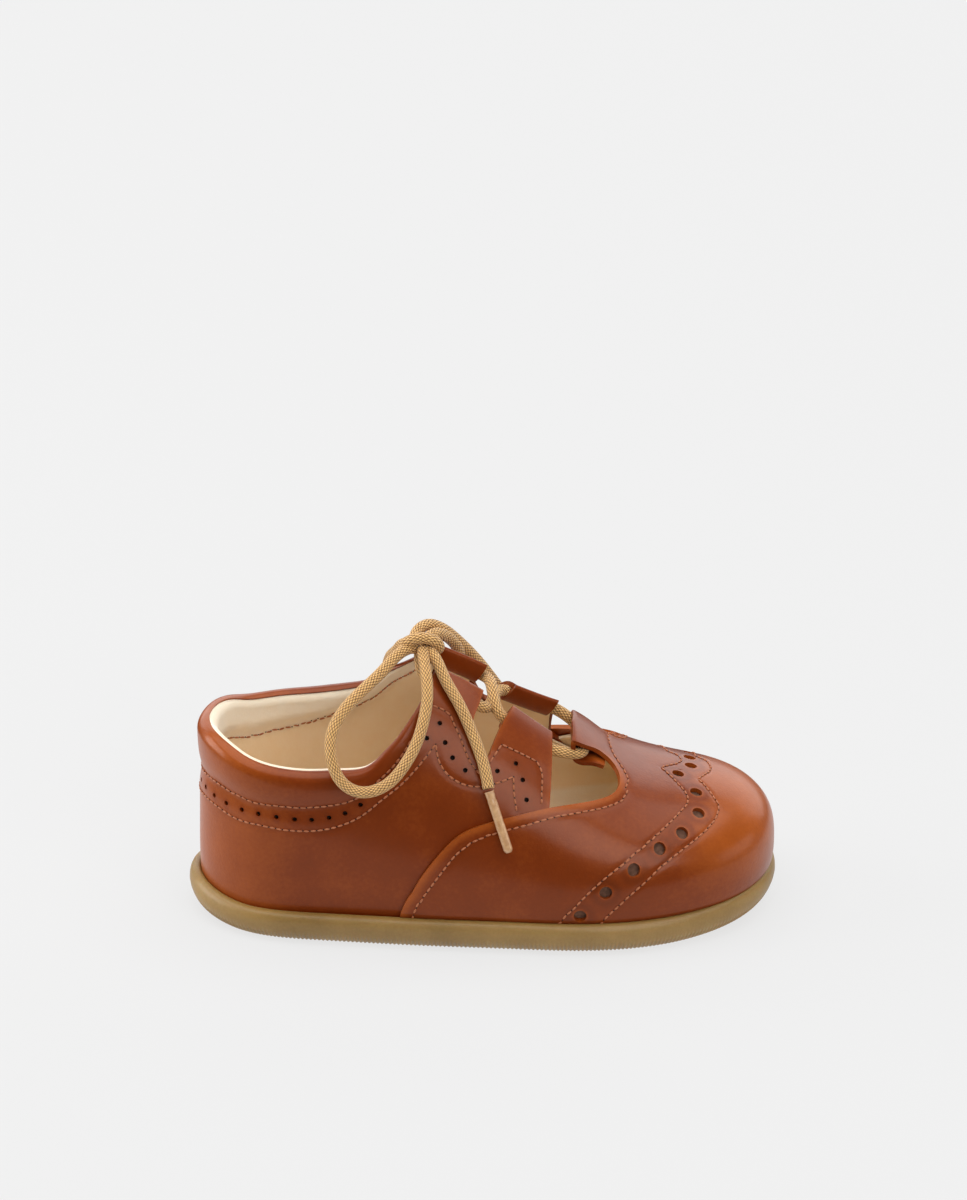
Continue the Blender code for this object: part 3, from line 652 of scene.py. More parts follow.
def sewRow(row, surface):
    run = np.concatenate([[0], np.cumsum(np.linalg.norm(np.diff(row, axis=0), axis=1))])
    count = max(1, int(round(run[-1] / threadLook["pitch"])))
    pitch = run[-1] / count

    def spotAt(at):
        guess = Vector([float(np.interp(at, run, axis)) for axis in row.T])
        return surface.find_nearest(guess)[:2]

    for k in range(count):
        spot, out = spotAt((k + 0.5) * pitch)
        ahead, behind = spotAt((k + 0.85) * pitch)[0], spotAt((k + 0.15) * pitch)[0]
        way = (ahead - behind).normalized()
        side = out.cross(way).normalized()
        out = way.cross(side)
        turned = Matrix((way, side, out)).transposed().to_4x4()
        length = threadLook["length"] * pitch / threadLook["pitch"]
        size = Matrix.Diagonal((length / 2, threadLook["width"] / 2, threadLook["height"] / 2, 1))
        place = Matrix.Translation(spot + out * threadLook["lift"])
        stitchSpots.append(place @ turned @ size @ Matrix.Rotation(math.pi / 2, 4, "Y"))
        # a dark dent of painted shade where the needle went through
        spot, out = spotAt(k * pitch)
        turned = out.to_track_quat("Z", "Y").to_matrix().to_4x4()
        wide = threadLook["needleHole"] / 2
        size = Matrix.Diagonal((wide, wide, threadLook["needleDepth"], 1))
        needleShadeSpots.append(Matrix.Translation(spot) @ turned @ size)


def grooveAt(rows, places):
    away = distanceTo(np.concatenate(rows), places)
    return -grooveLook["depth"] * bell(away, grooveLook["width"])


stitchSpots, needleShadeSpots = [], []
backingSpots = {"small": [], "big": []}


def backHole(kind, turn, rise, radius, sink):  # a disc behind a punched hole: painted shade in the small holes, the interlining in the big ones
    turn, rise = np.array(turn), np.array(rise)
    spot, out = offLast(turn, rise, sink), lastNormal(turn, rise)
    turned = Vector(out).to_track_quat("Z", "Y").to_matrix().to_4x4()
    backingSpots[kind].append(Matrix.Translation(Vector(spot)) @ turned @ Matrix.Diagonal((radius, radius, 1, 1)))


# Gum sole
soleLook = {
    # how far inside the rim at the side, at heel and toe, and the height
    "rounds": [
        (6.0, 7.0, 0.0), (3.4, 4.6, 0.0), (2.9, 3.9, 0.10), (2.4, 3.1, 0.40),
        (1.85, 2.2, 0.80), (1.30, 1.5, 1.30), (0.85, 1.0, 1.90), (0.50, 0.6, 2.60), (0.16, 0.2, 3.60),
        (0.00, 0.0, 4.60), (0.04, 0.04, 5.40), (0.20, 0.20, 6.20), (0.48, 0.48, 6.85), (0.85, 0.85, 7.28),
    ],
    "notchPitch": 1.0,
    "notchDepth": 0.50,
    "notchTop": 2.9,  # height at which the serrations run out
    "stepsPerNotch": 5,
    "lip": [(0.3, 0.08), (0.6, 0.0), (0.85, 0.12), (1.0, 0.45)],  # share of the way in to the upper, and drop
}


def makeSole(look):
    fine = np.linspace(-math.pi, math.pi, 4001)
    x, y = rimPlan(fine)
    run = np.concatenate([[0], np.cumsum(np.hypot(np.diff(x), np.diff(y)))])
    notches = int(run[-1] / look["notchPitch"])
    around = np.linspace(0, 1, notches * look["stepsPerNotch"] + 1)
    turn = np.interp(around * run[-1], run, fine)
    end = np.abs(np.cos(turn)) ** 6
    wave = np.clip(np.cos(2 * math.pi * notches * around) * 1.6, -1, 1) * 0.5 + 0.5
    rows = [floorRing(turn, share, 0.0) for share in (0.04, 0.4)]
    for inset, insetEnd, height in look["rounds"]:
        cut = look["notchDepth"] * wave * (1 - ease(look["notchTop"] * 0.55, look["notchTop"], height)) * (inset < 5)
        x, y = insetRim(turn, inset + (insetEnd - inset) * end + cut)
        tall = height / lastShape["soleLip"] * (lipHeight(turn) - springOf(turn))
        rows.append(np.stack([x, y, floorLift(x) + tall], axis=-1))
    top = lipHeight(turn)
    inner = offLast(turn, riseAt(turn, top), 0.15)
    outer = rows[-1].copy()
    for share, drop in look["lip"]:
        ring = outer + (inner - outer) * share
        ring[:, 2] = top - drop
        rows.append(ring)
    floor = offLast(turn, np.zeros_like(turn), 0.2)
    floor[:, 2] = lastPoint(turn, 0)[:, 2] - lastShape["footGap"]
    rows.append(floor)
    rows += [floorRing(turn, share, lastShape["soleFloor"]) for share in (0.4, 0.04)]
    bm = closeRings(rows)
    places = placesOf(bm)
    paint(bm, "tread", (places[:, 2] - floorLift(places[:, 0]) < 0.05) * 1.0)
    makePiece("gum_sole", bm, gumRubber, ["outsole"])


makeSole(soleLook)


# Insole
insoleLook = {
    "thickness": 2.3,
    # how far inside the upper, and the height
    "rounds": [(2.5, 0.0), (2.3, 0.9), (2.4, 1.7), (2.8, 2.15), (3.4, 2.3)],
    # share of the way out from the middle line, and the depth of the hollow
    "dish": [(0.70, 0.15), (0.52, 0.3), (0.30, 0.42), (0.04, 0.5)],
}


def makeInsole(look):
    turn = np.linspace(-math.pi, math.pi, 241)
    floor = lastShape["soleFloor"] + lastShape["footGap"]
    rows = [floorRing(turn, share, floor) for share in (0.04, 0.5)]
    for inside, height in look["rounds"]:
        level = lastPoint(turn, 0)[:, 2] + height
        ring = offLast(turn, riseAt(turn, level), -inside)
        ring[:, 2] = level
        rows.append(ring)
    rows += [floorRing(turn, share, floor + look["thickness"] - hollow) for share, hollow in look["dish"]]
    makePiece("insole_sock", closeRings(rows), fittedSock, ["insole"])


makeInsole(insoleLook)


# Quarter, with its padded collar and lace tabs
quarterLook = {
    "leather": 1.2,
    "spacing": 0.85,
    "rollRadius": (2.8, 0.9),  # at the heel and where the collar meets the rear tab
    "rollTaper": (1.00, 1.34),
    "rollEnd": (92, 120),  # degrees of the roll that the leather covers, lateral and medial
    "rollUp": {lateral: 1.5, medial: 0.75},  # how far the roll's foot stands above its radius
    "rollUpHeel": 0.35,
    "padOut": (0.5, 1.2),  # at the heel and at the sides
    "padDepth": 9.5,
    "pinch": 0.55,  # drawn in along the collar's upper row
    "heelOut": 0.25,  # roundness of the heel above the sole
    # pattern edges of the lateral side, as turn and rise
    "collarFront": [
        (1.20, 0.495), (1.235, 0.54), (1.265, 0.59), (1.29, 0.64), (1.315, 0.70), (1.34, 0.80), (1.355, 0.905),
    ],
    "collarFrontMedial": [
        (1.20, 0.57), (1.235, 0.61), (1.265, 0.65), (1.29, 0.69), (1.315, 0.735), (1.34, 0.81), (1.355, 0.905),
    ],
    "rearFold": [(1.355, 0.905), (1.575, 0.885)],
    "rearTabFront": [(1.575, 0.885), (1.55, 0.78), (1.53, 0.70), (1.54, 0.645), (1.56, 0.605)],
    "notch": [(1.56, 0.605), (1.575, 0.592), (1.592, 0.605)],
    "frontTabRear": [(1.592, 0.605), (1.64, 0.735), (1.715, 0.905)],
    "frontFold": [(1.715, 0.905), (1.90, 0.892)],
    "frontTabFront": [(1.90, 0.892), (1.86, 0.735), (1.815, 0.52)],
    "underVamp": [
        (1.815, 0.52), (1.86, 0.45), (1.74, 0.36), (1.60, 0.27), (1.50, 0.17), (1.43, 0.06), (1.42, 0.0),
    ],
    # turn, and how far the medial tabs stand off the last
    "medialTabs": [(1.30, 0.6), (1.36, 1.6), (1.58, 1.6), (1.71, 1.0), (1.90, 3.0)],
    # the tab folded back round the lace: up off the fold and in towards the foot
    "foldSection": [
        (0.0, 0.0), (0.22, 0.12), (0.34, 0.4), (0.34, 0.9), (0.18, 1.7), (-0.15, 2.7), (-0.7, 3.8), (-1.5, 4.7),
        (-2.6, 5.15), (-3.8, 4.95), (-4.8, 4.55), (-5.6, 4.45), (-6.4, 4.65),
    ],
    # the lace's middle inside the fold
    "laceUp": -2.55,
    "laceIn": 2.75,
    "holeRadius": 0.58,
    # the small holes' backing is a dark disc of painted shade
    "holeBacking": (0.85, -1.0),  # radius, and how far off the last
    # paler at raw edges, and at the heel by painted sheen; darker round holes and along rows
    "tone": {"plain": 0.50, "rawEdge": 0.15, "hole": 0.22, "row": 0.5, "heel": 0.25},
}
foldNames = ("rearFold", "frontFold")
rawNames = ("rearTabFront", "notch", "frontTabRear", "frontTabFront")


def rollRadius(turn):
    wide, thin = quarterLook["rollRadius"]
    return thin + (wide - thin) * (1 - ease(*quarterLook["rollTaper"], np.abs(turn)))


def rollEnd(turn):
    near, far = quarterLook["rollEnd"]
    return near + (far - near) * ease(0.1, 0.6, -turn)


def sided(points, side):
    return [(side * turn, rise) for turn, rise in points]


def collarRun(side):  # top edge of the flat leather, where the roll starts
    turn = np.linspace(0.0, 1.14, 14)
    top = list(zip(turn, riseAt(side * turn, collarHeight(turn, side))))
    top += quarterLook["collarFront" if side == lateral else "collarFrontMedial"]
    run = patternRun(top, quarterLook["spacing"])
    back, up = quarterLook["rollUpHeel"], quarterLook["rollUp"][side]
    up = (back + (up - back) * ease(0.05, 0.5, run[:, 0])) * (1 - ease(0.95, 1.30, run[:, 0]))
    run = insetRun(run, rollRadius(run[:, 0]) - up)
    run[0, 0], run[-1] = 0.0, quarterLook["rearFold"][0]
    return run * (side, 1)


def quarterEdges(side):
    edges = {"collar": collarRun(side)}
    for name in ("rearFold", "rearTabFront", "notch", "frontTabRear", "frontFold", "frontTabFront", "underVamp"):
        edges[name] = patternRun(sided(quarterLook[name], side), quarterLook["spacing"], name not in foldNames)
    return edges


sideEdges = {side: quarterEdges(side) for side in (lateral, medial)}
collarLine = np.concatenate([lastPoint(*sideEdges[side]["collar"].T) for side in (lateral, medial)])


def joinRuns(runs):  # one closed outline out of edges that follow each other
    return np.concatenate([run[:-1] for run in runs])


def quarterOutline(edgeSets, foot):
    order = list(edgeSets[lateral])
    there = [edgeSets[lateral][name] for name in order]
    back = [edgeSets[medial][name][::-1] for name in reversed(order)]
    front = edgeSets[lateral][order[-1]][-1][0]
    sole = patternRun([(front, foot), (-front, foot)], 1.2, False)
    return joinRuns(there + [sole] + back)


# Stitch rows and punched holes of the lateral side; the medial side repeats them, raised with its collar
quarterSewing = {
    "collarUpper": [
        (0.0, 0.228), (0.09, 0.23), (0.39, 0.242), (0.56, 0.246), (0.69, 0.254), (0.80, 0.269), (0.895, 0.283),
        (0.98, 0.303), (1.06, 0.327), (1.12, 0.355), (1.18, 0.403), (1.25, 0.475), (1.30, 0.56),
    ],
    "collarLower": [
        (0.0, 0.182), (0.10, 0.184), (0.39, 0.194), (0.56, 0.197), (0.695, 0.21), (0.80, 0.22), (0.90, 0.234),
        (0.985, 0.252), (1.065, 0.279), (1.14, 0.317), (1.21, 0.371), (1.27, 0.421), (1.325, 0.481), (1.392, 0.577),
    ],
    "rearScallop": [(1.392, 0.577), (1.414, 0.52), (1.475, 0.485), (1.527, 0.483), (1.606, 0.515), (1.684, 0.575)],
    "frontScallop": [(1.684, 0.575), (1.682, 0.525), (1.689, 0.455)],
    "frontTabRow": [(1.595, 0.583), (1.62, 0.63), (1.645, 0.675)],
    "frontTabTop": [(1.645, 0.675), (1.72, 0.683), (1.785, 0.688)],
    "frontTabSide": [(1.785, 0.688), (1.80, 0.66), (1.795, 0.597), (1.785, 0.52)],
    "rearTabTop": [(1.345, 0.72), (1.366, 0.707), (1.405, 0.705), (1.44, 0.695)],
    "rearTabSide": [(1.44, 0.695), (1.465, 0.655), (1.488, 0.619), (1.523, 0.559), (1.56, 0.53)],
}
quarterHoles = [
    (0.105, 0.207), (0.223, 0.209), (0.345, 0.211), (0.463, 0.215), (0.58, 0.222), (0.685, 0.232), (0.785, 0.243),
    (0.873, 0.254), (0.947, 0.267), (1.017, 0.286), (1.078, 0.309), (1.134, 0.342), (1.18, 0.381), (1.226, 0.425),
    (1.274, 0.477), (1.315, 0.529), (1.357, 0.585), (1.401, 0.651), (1.427, 0.593), (1.457, 0.553), (1.505, 0.527),
    (1.697, 0.631), (1.623, 0.567), (1.719, 0.581), (1.728, 0.513),
]


def raised(points, side):  # the medial collar stands higher, and its rows with it
    if side == lateral:
        return [tuple(point) for point in points]
    turn, rise = np.asarray(points, float).T
    extra = riseAt(-turn, collarHeight(turn, medial)) - riseAt(turn, collarHeight(turn, lateral))
    extra = extra * (1 - ease(1.05, 1.40, turn))
    return list(zip(-turn, rise + extra))


quarterRows = []
for name in ("collarUpper", "collarLower"):
    quarterRows.append(rowOn(raised(quarterSewing[name][1:], medial)[::-1] + raised(quarterSewing[name], lateral)))
for side in (lateral, medial):
    for name in list(quarterSewing)[2:]:
        quarterRows.append(rowOn(sided(quarterSewing[name], side)))
holeSpots = [spot for side in (lateral, medial) for spot in raised(quarterHoles, side)]
holeLoops = [punched(turn, rise, quarterLook["holeRadius"], 14) for turn, rise in holeSpots]
# each small hole gets a dark disc of painted shade inside it
for turn, rise in holeSpots:
    backHole("small", turn, rise, *quarterLook["holeBacking"])


def tabLift(flat):
    turn, rise = -flat[:, 0], flat[:, 1]
    lift = np.interp(turn, *zip(*quarterLook["medialTabs"]))
    return np.where(turn > 0, lift * ease(0.58, 0.90, rise) * ease(1.22, 1.34, turn), 0.0)


def padAt(flat, away):  # how far the padded collar swells, and how much of it is left towards the tabs
    taper = (rollRadius(flat[:, 0]) - quarterLook["rollRadius"][1]) / np.ptp(quarterLook["rollRadius"])
    heel, sides = quarterLook["padOut"]
    swell = heel + (sides - heel) * ease(0.1, 0.6, np.abs(flat[:, 0]))
    return swell * (1 - ease(0.0, quarterLook["padDepth"], away)) * taper, taper


def quarterLift(flat, places):
    pad, taper = padAt(flat, distanceTo(collarLine, places))
    pad -= quarterLook["pinch"] * bell(distanceTo(quarterRows[0], places), 2.4) * taper
    heel = quarterLook["heelOut"] * bell(places[:, 2] - 14, 9) * ease(-45, -62, places[:, 0])
    return pad + heel + tabLift(flat) + grooveAt(quarterRows, places)


def collarFrames():  # from the medial tab round the heel to the lateral one
    collar = np.concatenate([sideEdges[medial]["collar"][::-1], sideEdges[lateral]["collar"][1:]])
    return collar, *framesAlong(collar, quarterLift(collar, lastPoint(*collar.T)), (0, 0, 1))


def foldBack(bm, run, out, hint, section):  # leather turned back from an edge, to hold the lace
    places, normals, off = framesAlong(run, out, hint)
    laySheet(bm, [places + away * off - into * normals for away, into in routeThrough(section, 0.45)])


def makeQuarter(look):
    bm = wrapPanel(quarterOutline(sideEdges, 0.0), holeLoops, look["spacing"], quarterLift)
    panel = BVHTree.FromBMesh(bm)
    for row in quarterRows:
        sewRow(row, panel)
    collar, places, normals, up = collarFrames()
    radius = rollRadius(collar[:, 0])[:, None]
    rows = []
    for share in np.linspace(0, 1, 13):
        angle = np.radians(share * rollEnd(collar[:, 0]))[:, None]
        rows.append(places + radius * (np.sin(angle) * up - (1 - np.cos(angle)) * normals))
    laySheet(bm, rows)
    for side in (lateral, medial):
        for name in foldNames:
            run = sideEdges[side][name][::side]
            foldBack(bm, run, quarterLift(run, lastPoint(*run.T)), (0, 0, 1), look["foldSection"])
    bmesh.ops.remove_doubles(bm, verts=bm.verts, dist=0.02)
    places = placesOf(bm)
    raw = [lastPoint(*sideEdges[side][name].T) for side in (lateral, medial) for name in rawNames]
    holes, tone = lastPoint(*np.array(holeSpots).T), look["tone"]
    shade = tone["plain"] + tone["rawEdge"] * bell(distanceTo(np.concatenate(raw), places), 0.7)
    shade -= tone["hole"] * bell(distanceTo(holes, places), 0.9)
    shade += tone["row"] * grooveAt(quarterRows, places)
    # painted sheen: the back of the heel painted paler
    shade += tone["heel"] * ease(-40, -66, places[:, 0])
    paint(bm, "shade", shade)
    tunnels = ["lace_tunnel_" + side + end for side in ("lateral", "medial") for end in ("_rear", "_front")]
    piece = makePiece("quarter_leather", bm, brownLeather, ["upper", *tunnels])
    thicken(piece, look["leather"])


makeQuarter(quarterLook)


# Lining of the quarter
liningCut = {
    "thickness": 0.6,
    "spacing": 1.0,
    "under": 2.0,  # below the outside of the leather
    "rollInset": 0.3,
    "proud": 0.75,  # how far it stands above the leather along the lateral collar
    # turn, and depth of the padded band below the collar
    "bandDepth": [(0.0, 9.0), (0.62, 8.4), (0.88, 7.1), (1.07, 4.9), (1.20, 3.2), (1.33, 2.6)],
    "tabs": [
        (1.355, 0.80), (1.545, 0.785), (1.53, 0.74), (1.515, 0.69), (1.525, 0.63), (1.56, 0.588), (1.575, 0.578),
        (1.61, 0.60), (1.65, 0.72), (1.68, 0.795), (1.865, 0.785), (1.845, 0.70), (1.80, 0.50),
    ],
    "underVamp": [(1.80, 0.50), (1.95, 0.42), (1.76, 0.28), (1.58, 0.10), (1.56, 0.01)],
}


def liningEdges(side):
    return {
        "collar": sideEdges[side]["collar"],
        "back": patternRun([sideEdges[side]["collar"][-1], sided(liningCut["tabs"][:1], side)[0]], 1.5, False),
        "tabs": patternRun(sided(liningCut["tabs"], side), 1.5, False),
        "underVamp": patternRun(sided(liningCut["underVamp"], side), 1.5, False),
    }


def bandDepth(turn):
    return np.interp(np.abs(turn), *zip(*liningCut["bandDepth"]))


def liningLift(flat, places):
    away, depth = distanceTo(collarLine, places), bandDepth(flat[:, 0])
    out, taper = padAt(flat, away)
    deep = 2 * (rollRadius(flat[:, 0]) - liningCut["rollInset"])
    seam = 0.35 * bell(away - depth, 0.7) * taper
    pad = (deep - liningCut["under"]) * (1 - ease(0.4 * depth, depth, away))
    return out + tabLift(flat) - liningCut["under"] - pad + seam


def makeLining(look):
    cut = quarterOutline({side: liningEdges(side) for side in (lateral, medial)}, 0.01)
    bm = wrapPanel(cut, [], look["spacing"], liningLift)
    bmesh.ops.reverse_faces(bm, faces=bm.faces)
    collar, places, normals, up = collarFrames()
    turn, rise = collar.T
    radius = rollRadius(turn)[:, None] - look["rollInset"]
    start = rollEnd(turn)[:, None] - 14  # it starts under the leather's edge
    proud = look["proud"] * ease(-0.1, 0.25, turn)[:, None] * (1 - ease(1.1, 1.3, turn))[:, None]
    rows = []
    for share in np.linspace(0, 1, 14):
        angle = start + (180 - start) * share
        stand = radius + proud * ease(12, 26, angle - start) * (1 - ease(110, 160, angle))
        angle = np.radians(angle)
        rows.append(places + stand * np.sin(angle) * up - radius * (1 - np.cos(angle)) * normals)
    laySheet(bm, rows)
    bmesh.ops.remove_doubles(bm, verts=bm.verts, dist=0.05)
    slope = np.linalg.norm(lastPoint(turn, rise + 0.005) - lastPoint(turn, rise - 0.005), axis=1) / 0.01
    seam = offLast(turn, rise - bandDepth(turn) / slope, -look["under"] - 0.3)
    sewRow(routeThrough(seam[6:-6:3], 0.4), BVHTree.FromBMesh(bm))
    tree = treeOf(seam)
    above = np.array([place[2] - tree.find(place)[0][2] for place in placesOf(bm)])
    paint(bm, "band", 0.10 + 0.75 * ease(-0.7, 0.7, above))
    thicken(makePiece("quarter_lining", bm, beigeLining), look["thickness"])


makeLining(liningCut)


# Vamp, with its wing and the strip that holds the lace
vampLook = {
    "leather": 1.1,
    "spacing": 0.75,
    "lift": 1.4,
    "stripHump": 1.0,
    "edge": [
        (1.278, 0.02), (1.285, 0.06), (1.313, 0.134), (1.353, 0.196), (1.41, 0.26), (1.488, 0.333), (1.593, 0.391),
        (1.70, 0.45), (1.81, 0.515), (1.946, 0.585), (2.068, 0.655), (2.134, 0.709), (2.182, 0.775), (2.196, 0.832),
        (2.172, 0.873), (2.125, 0.885), (2.05, 0.868), (1.97, 0.852),
    ],
    "stripEnd": [(1.97, 0.852), (2.00, 0.92), (2.03, 1.0)],
    "rowInset": 2.3,
    "holeRadius": 1.5,
    "foldSection": [
        (0.0, 0.0), (0.3, 0.12), (0.42, 0.45), (0.3, 0.95), (-0.2, 1.8), (-1.0, 3.1), (-2.0, 4.5), (-3.2, 5.35),
        (-4.5, 5.5), (-5.8, 5.0), (-7.0, 4.2), (-8.4, 3.6), (-10.0, 3.3),
    ],
    "laceUp": -3.9,
    "laceIn": 2.8,
    "holeBacking": (2.1, 0.1),  # radius, and how far off the last
    "toeTop": (46, 3, 32.5),  # where the pattern closes over the toe and is smoothed
    "toeReach": 4.5,
    # paler at raw edges and hole rims, and over the toe's upper part by painted sheen; darker round the holes and
    # along rows
    "tone": {"plain": 0.50, "rawEdge": 0.30, "holeRim": 0.22, "hole": 0.16, "row": 0.5, "toe": 0.38},
}
vampSewing = {
    "wingRear": [
        (1.815, 0.03), (1.871, 0.119), (1.974, 0.248), (2.094, 0.378), (2.239, 0.51), (2.412, 0.631), (2.486, 0.673),
        (2.55, 0.713), (2.582, 0.751), (2.603, 0.796), (2.627, 0.857), (2.652, 0.919), (2.677, 0.978),
    ],
    "wingRearMedial": [
        (-1.815, 0.03), (-1.914, 0.173), (-2.03, 0.312), (-2.161, 0.442), (-2.239, 0.53), (-2.324, 0.63),
        (-2.40, 0.71), (-2.476, 0.763), (-2.532, 0.775), (-2.606, 0.805), (-2.685, 0.85),
    ],
    "wingRearPoint": [(-2.685, 0.85), (-2.716, 0.893), (-2.73, 0.952), (2.677, 0.978)],
    "wingFront": [
        (1.962, 0.03), (2.027, 0.111), (2.129, 0.234), (2.278, 0.39), (2.454, 0.501), (2.606, 0.581), (2.673, 0.619),
        (2.712, 0.647), (2.741, 0.683), (2.779, 0.73), (2.832, 0.787), (2.903, 0.848),
    ],
    "wingFrontMedial": [
        (-1.962, 0.03), (-2.08, 0.168), (-2.203, 0.317), (-2.278, 0.39), (-2.366, 0.48), (-2.48, 0.58),
        (-2.56, 0.66), (-2.631, 0.712), (-2.691, 0.718), (-2.797, 0.744), (-2.928, 0.782),
    ],
    "wingFrontPoint": [(-2.928, 0.782), (-3.03, 0.815), (-3.129, 0.843), (2.903, 0.848)],
    "crown": [
        (2.195, 0.74), (2.232, 0.785), (2.245, 0.85), (2.235, 0.92), (-2.235, 0.975), (-2.20, 0.93), (-2.164, 0.874),
    ],
    "crownMedial": [(-2.164, 0.874), (-2.195, 0.86), (-2.225, 0.81), (-2.195, 0.74)],
}
bigHoles = [
    (2.79, 0.926), (2.673, 0.758), (2.543, 0.633), (2.384, 0.534), (2.249, 0.454), (2.119, 0.336), (2.002, 0.211),
    (1.907, 0.097), (-2.829, 0.862), (-2.638, 0.765), (-2.515, 0.66), (-2.384, 0.548), (-2.249, 0.454),
    (-2.119, 0.336), (-2.002, 0.211), (-1.907, 0.097),
]


def overToe(points):  # turn counted on past the toe, so that one pattern crosses it
    points = np.asarray(points, float).copy()
    points[:, 0] = np.mod(points[:, 0], 2 * math.pi)
    return points


vampEdge = patternRun(vampLook["edge"], vampLook["spacing"])
stripEnd = patternRun(vampLook["stripEnd"], vampLook["spacing"])
edgeRow = insetRun(vampEdge[: int(len(vampEdge) * 0.80)], vampLook["rowInset"])
vampRows = [rowOn(points) for points in vampSewing.values()]
for side in (lateral, medial):
    vampRows.append(rowOn(sided(edgeRow[::4], side)))
vampHoleLoops = [overToe(punched(turn, rise, vampLook["holeRadius"], 28)) for turn, rise in bigHoles]
for turn, rise in bigHoles:
    backHole("big", turn, rise, *vampLook["holeBacking"])


def vampLift(flat, places):
    turn = np.minimum(flat[:, 0], 2 * math.pi - flat[:, 0])
    hump = vampLook["stripHump"] * (1 - ease(20.0, 34.0, places[:, 0])) * ease(0.80, 0.86, flat[:, 1])
    hump = hump * (turn > 1.9)
    lip = -0.9 * (1 - ease(0.02, 0.075, flat[:, 1]))
    return vampLook["lift"] + hump + lip + grooveAt(vampRows, places)


def mirrored(run):
    return np.stack([2 * math.pi - run[:, 0], run[:, 1]], axis=1)[::-1]


def overToeOutline(runs, ridgeStep, footStep):  # the lateral edges, along the ridge to the toe, and the same back
    ridge = patternRun([runs[-1][-1], (math.pi, 1.0)], ridgeStep, False)
    start = runs[0][0]
    foot = patternRun([(2 * math.pi - start[0], start[1]), tuple(start)], footStep, False)
    there = [*runs, ridge]
    return joinRuns(there + [mirrored(run) for run in reversed(there)] + [foot])


loopEnd = np.concatenate([stripEnd, mirrored(stripEnd)[1:]])
loopOff = (-1, 0, 0.4)  # the way off the end of the strip


def makeVamp(look):
    outline = overToeOutline([vampEdge, stripEnd], 0.6, look["spacing"])
    bm = wrapPanel(outline, vampHoleLoops, look["spacing"], vampLift)
    bmesh.ops.remove_doubles(bm, verts=bm.verts, dist=0.05)
    bmesh.ops.dissolve_degenerate(bm, edges=bm.edges, dist=0.01)
    top = Vector(look["toeTop"])
    inner = [vert for vert in bm.verts if not vert.is_boundary]
    nearToe = [vert for vert in inner if (vert.co - top).length < look["toeReach"]]
    for _ in range(6):
        bmesh.ops.smooth_vert(bm, verts=nearToe, factor=0.5, use_axis_x=True, use_axis_y=True, use_axis_z=True)
    panel = BVHTree.FromBMesh(bm)
    for row in vampRows:
        sewRow(row, panel)
    foldBack(bm, loopEnd, vampLift(loopEnd, lastPoint(*loopEnd.T)), loopOff, look["foldSection"])
    bmesh.ops.remove_doubles(bm, verts=bm.verts, dist=0.05)
    places = placesOf(bm)
    raw = np.concatenate([lastPoint(*run.T) for run in (vampEdge, mirrored(vampEdge))])
    tone = look["tone"]
    shade = tone["plain"] + tone["rawEdge"] * bell(distanceTo(raw, places) - look["lift"], 0.6)
    rims = distanceTo(lastPoint(*np.array(bigHoles).T), places) - look["holeRadius"]
    shade += tone["holeRim"] * bell(np.maximum(rims - 0.4, 0), 0.4) - tone["hole"] * bell(rims - 1.5, 0.9)
    shade += tone["row"] * grooveAt(vampRows, places)
    # painted sheen: the toe painted paler, only above its lower part
    shade += tone["toe"] * ease(40, 64, places[:, 0]) * ease(6, 24, places[:, 2])
    paint(bm, "shade", shade)
    piece = makePiece("vamp_leather", bm, brownLeather, ["vamp", "vamp_loop"])
    thicken(piece, look["leather"])


makeVamp(vampLook)


# Lining under the vamp
vampLiningCut = {
    "thickness": 0.8,
    "spacing": 1.4,
    "under": 0.9,
    "throat": [
        (1.43, 0.02), (1.50, 0.17), (1.60, 0.29), (1.74, 0.40), (1.95, 0.56), (2.09, 0.63), (2.165, 0.70),
        (2.22, 0.78), (2.25, 0.86), (2.25, 0.93), (2.24, 1.0),
    ],
    "paleBelow": (15.6, 16.8),  # heights between which the paler foot fades out
}


def makeVampLining(look):
    throat = patternRun(look["throat"], look["spacing"])
    outline = overToeOutline([throat], 1.2, look["spacing"])
    bm = wrapPanel(outline, [], look["spacing"], lambda flat, places: np.full(len(flat), -look["under"]))
    bmesh.ops.remove_doubles(bm, verts=bm.verts, dist=0.06)
    bmesh.ops.reverse_faces(bm, faces=bm.faces)
    paint(bm, "band", 0.10 + 0.70 * (1 - ease(*look["paleBelow"], placesOf(bm)[:, 2])))
    thicken(makePiece("vamp_lining", bm, beigeLining), look["thickness"])


makeVampLining(vampLiningCut)


# Stitches, needle holes and small hole backings as painted shade, and the big holes' interlining
def makeSewing():
    stitch, needle = bmesh.new(), bmesh.new()
    bmesh.ops.create_uvsphere(stitch, u_segments=6, v_segments=6, radius=1)
    bmesh.ops.create_uvsphere(needle, u_segments=6, v_segments=4, radius=1)
    makePiece("stitching", stampAll(stitch, stitchSpots), waxedThread)
    makePiece("needle_hole_shade", stampAll(needle, needleShadeSpots), holeShade)
    for kind, finish in (("small", holeShade), ("big", paleBacking)):
        disc = bmesh.new()
        bmesh.ops.create_circle(disc, cap_ends=True, segments=16, radius=1)
        makePiece(kind + "_hole_backing", stampAll(disc, backingSpots[kind]), finish)


makeSewing()


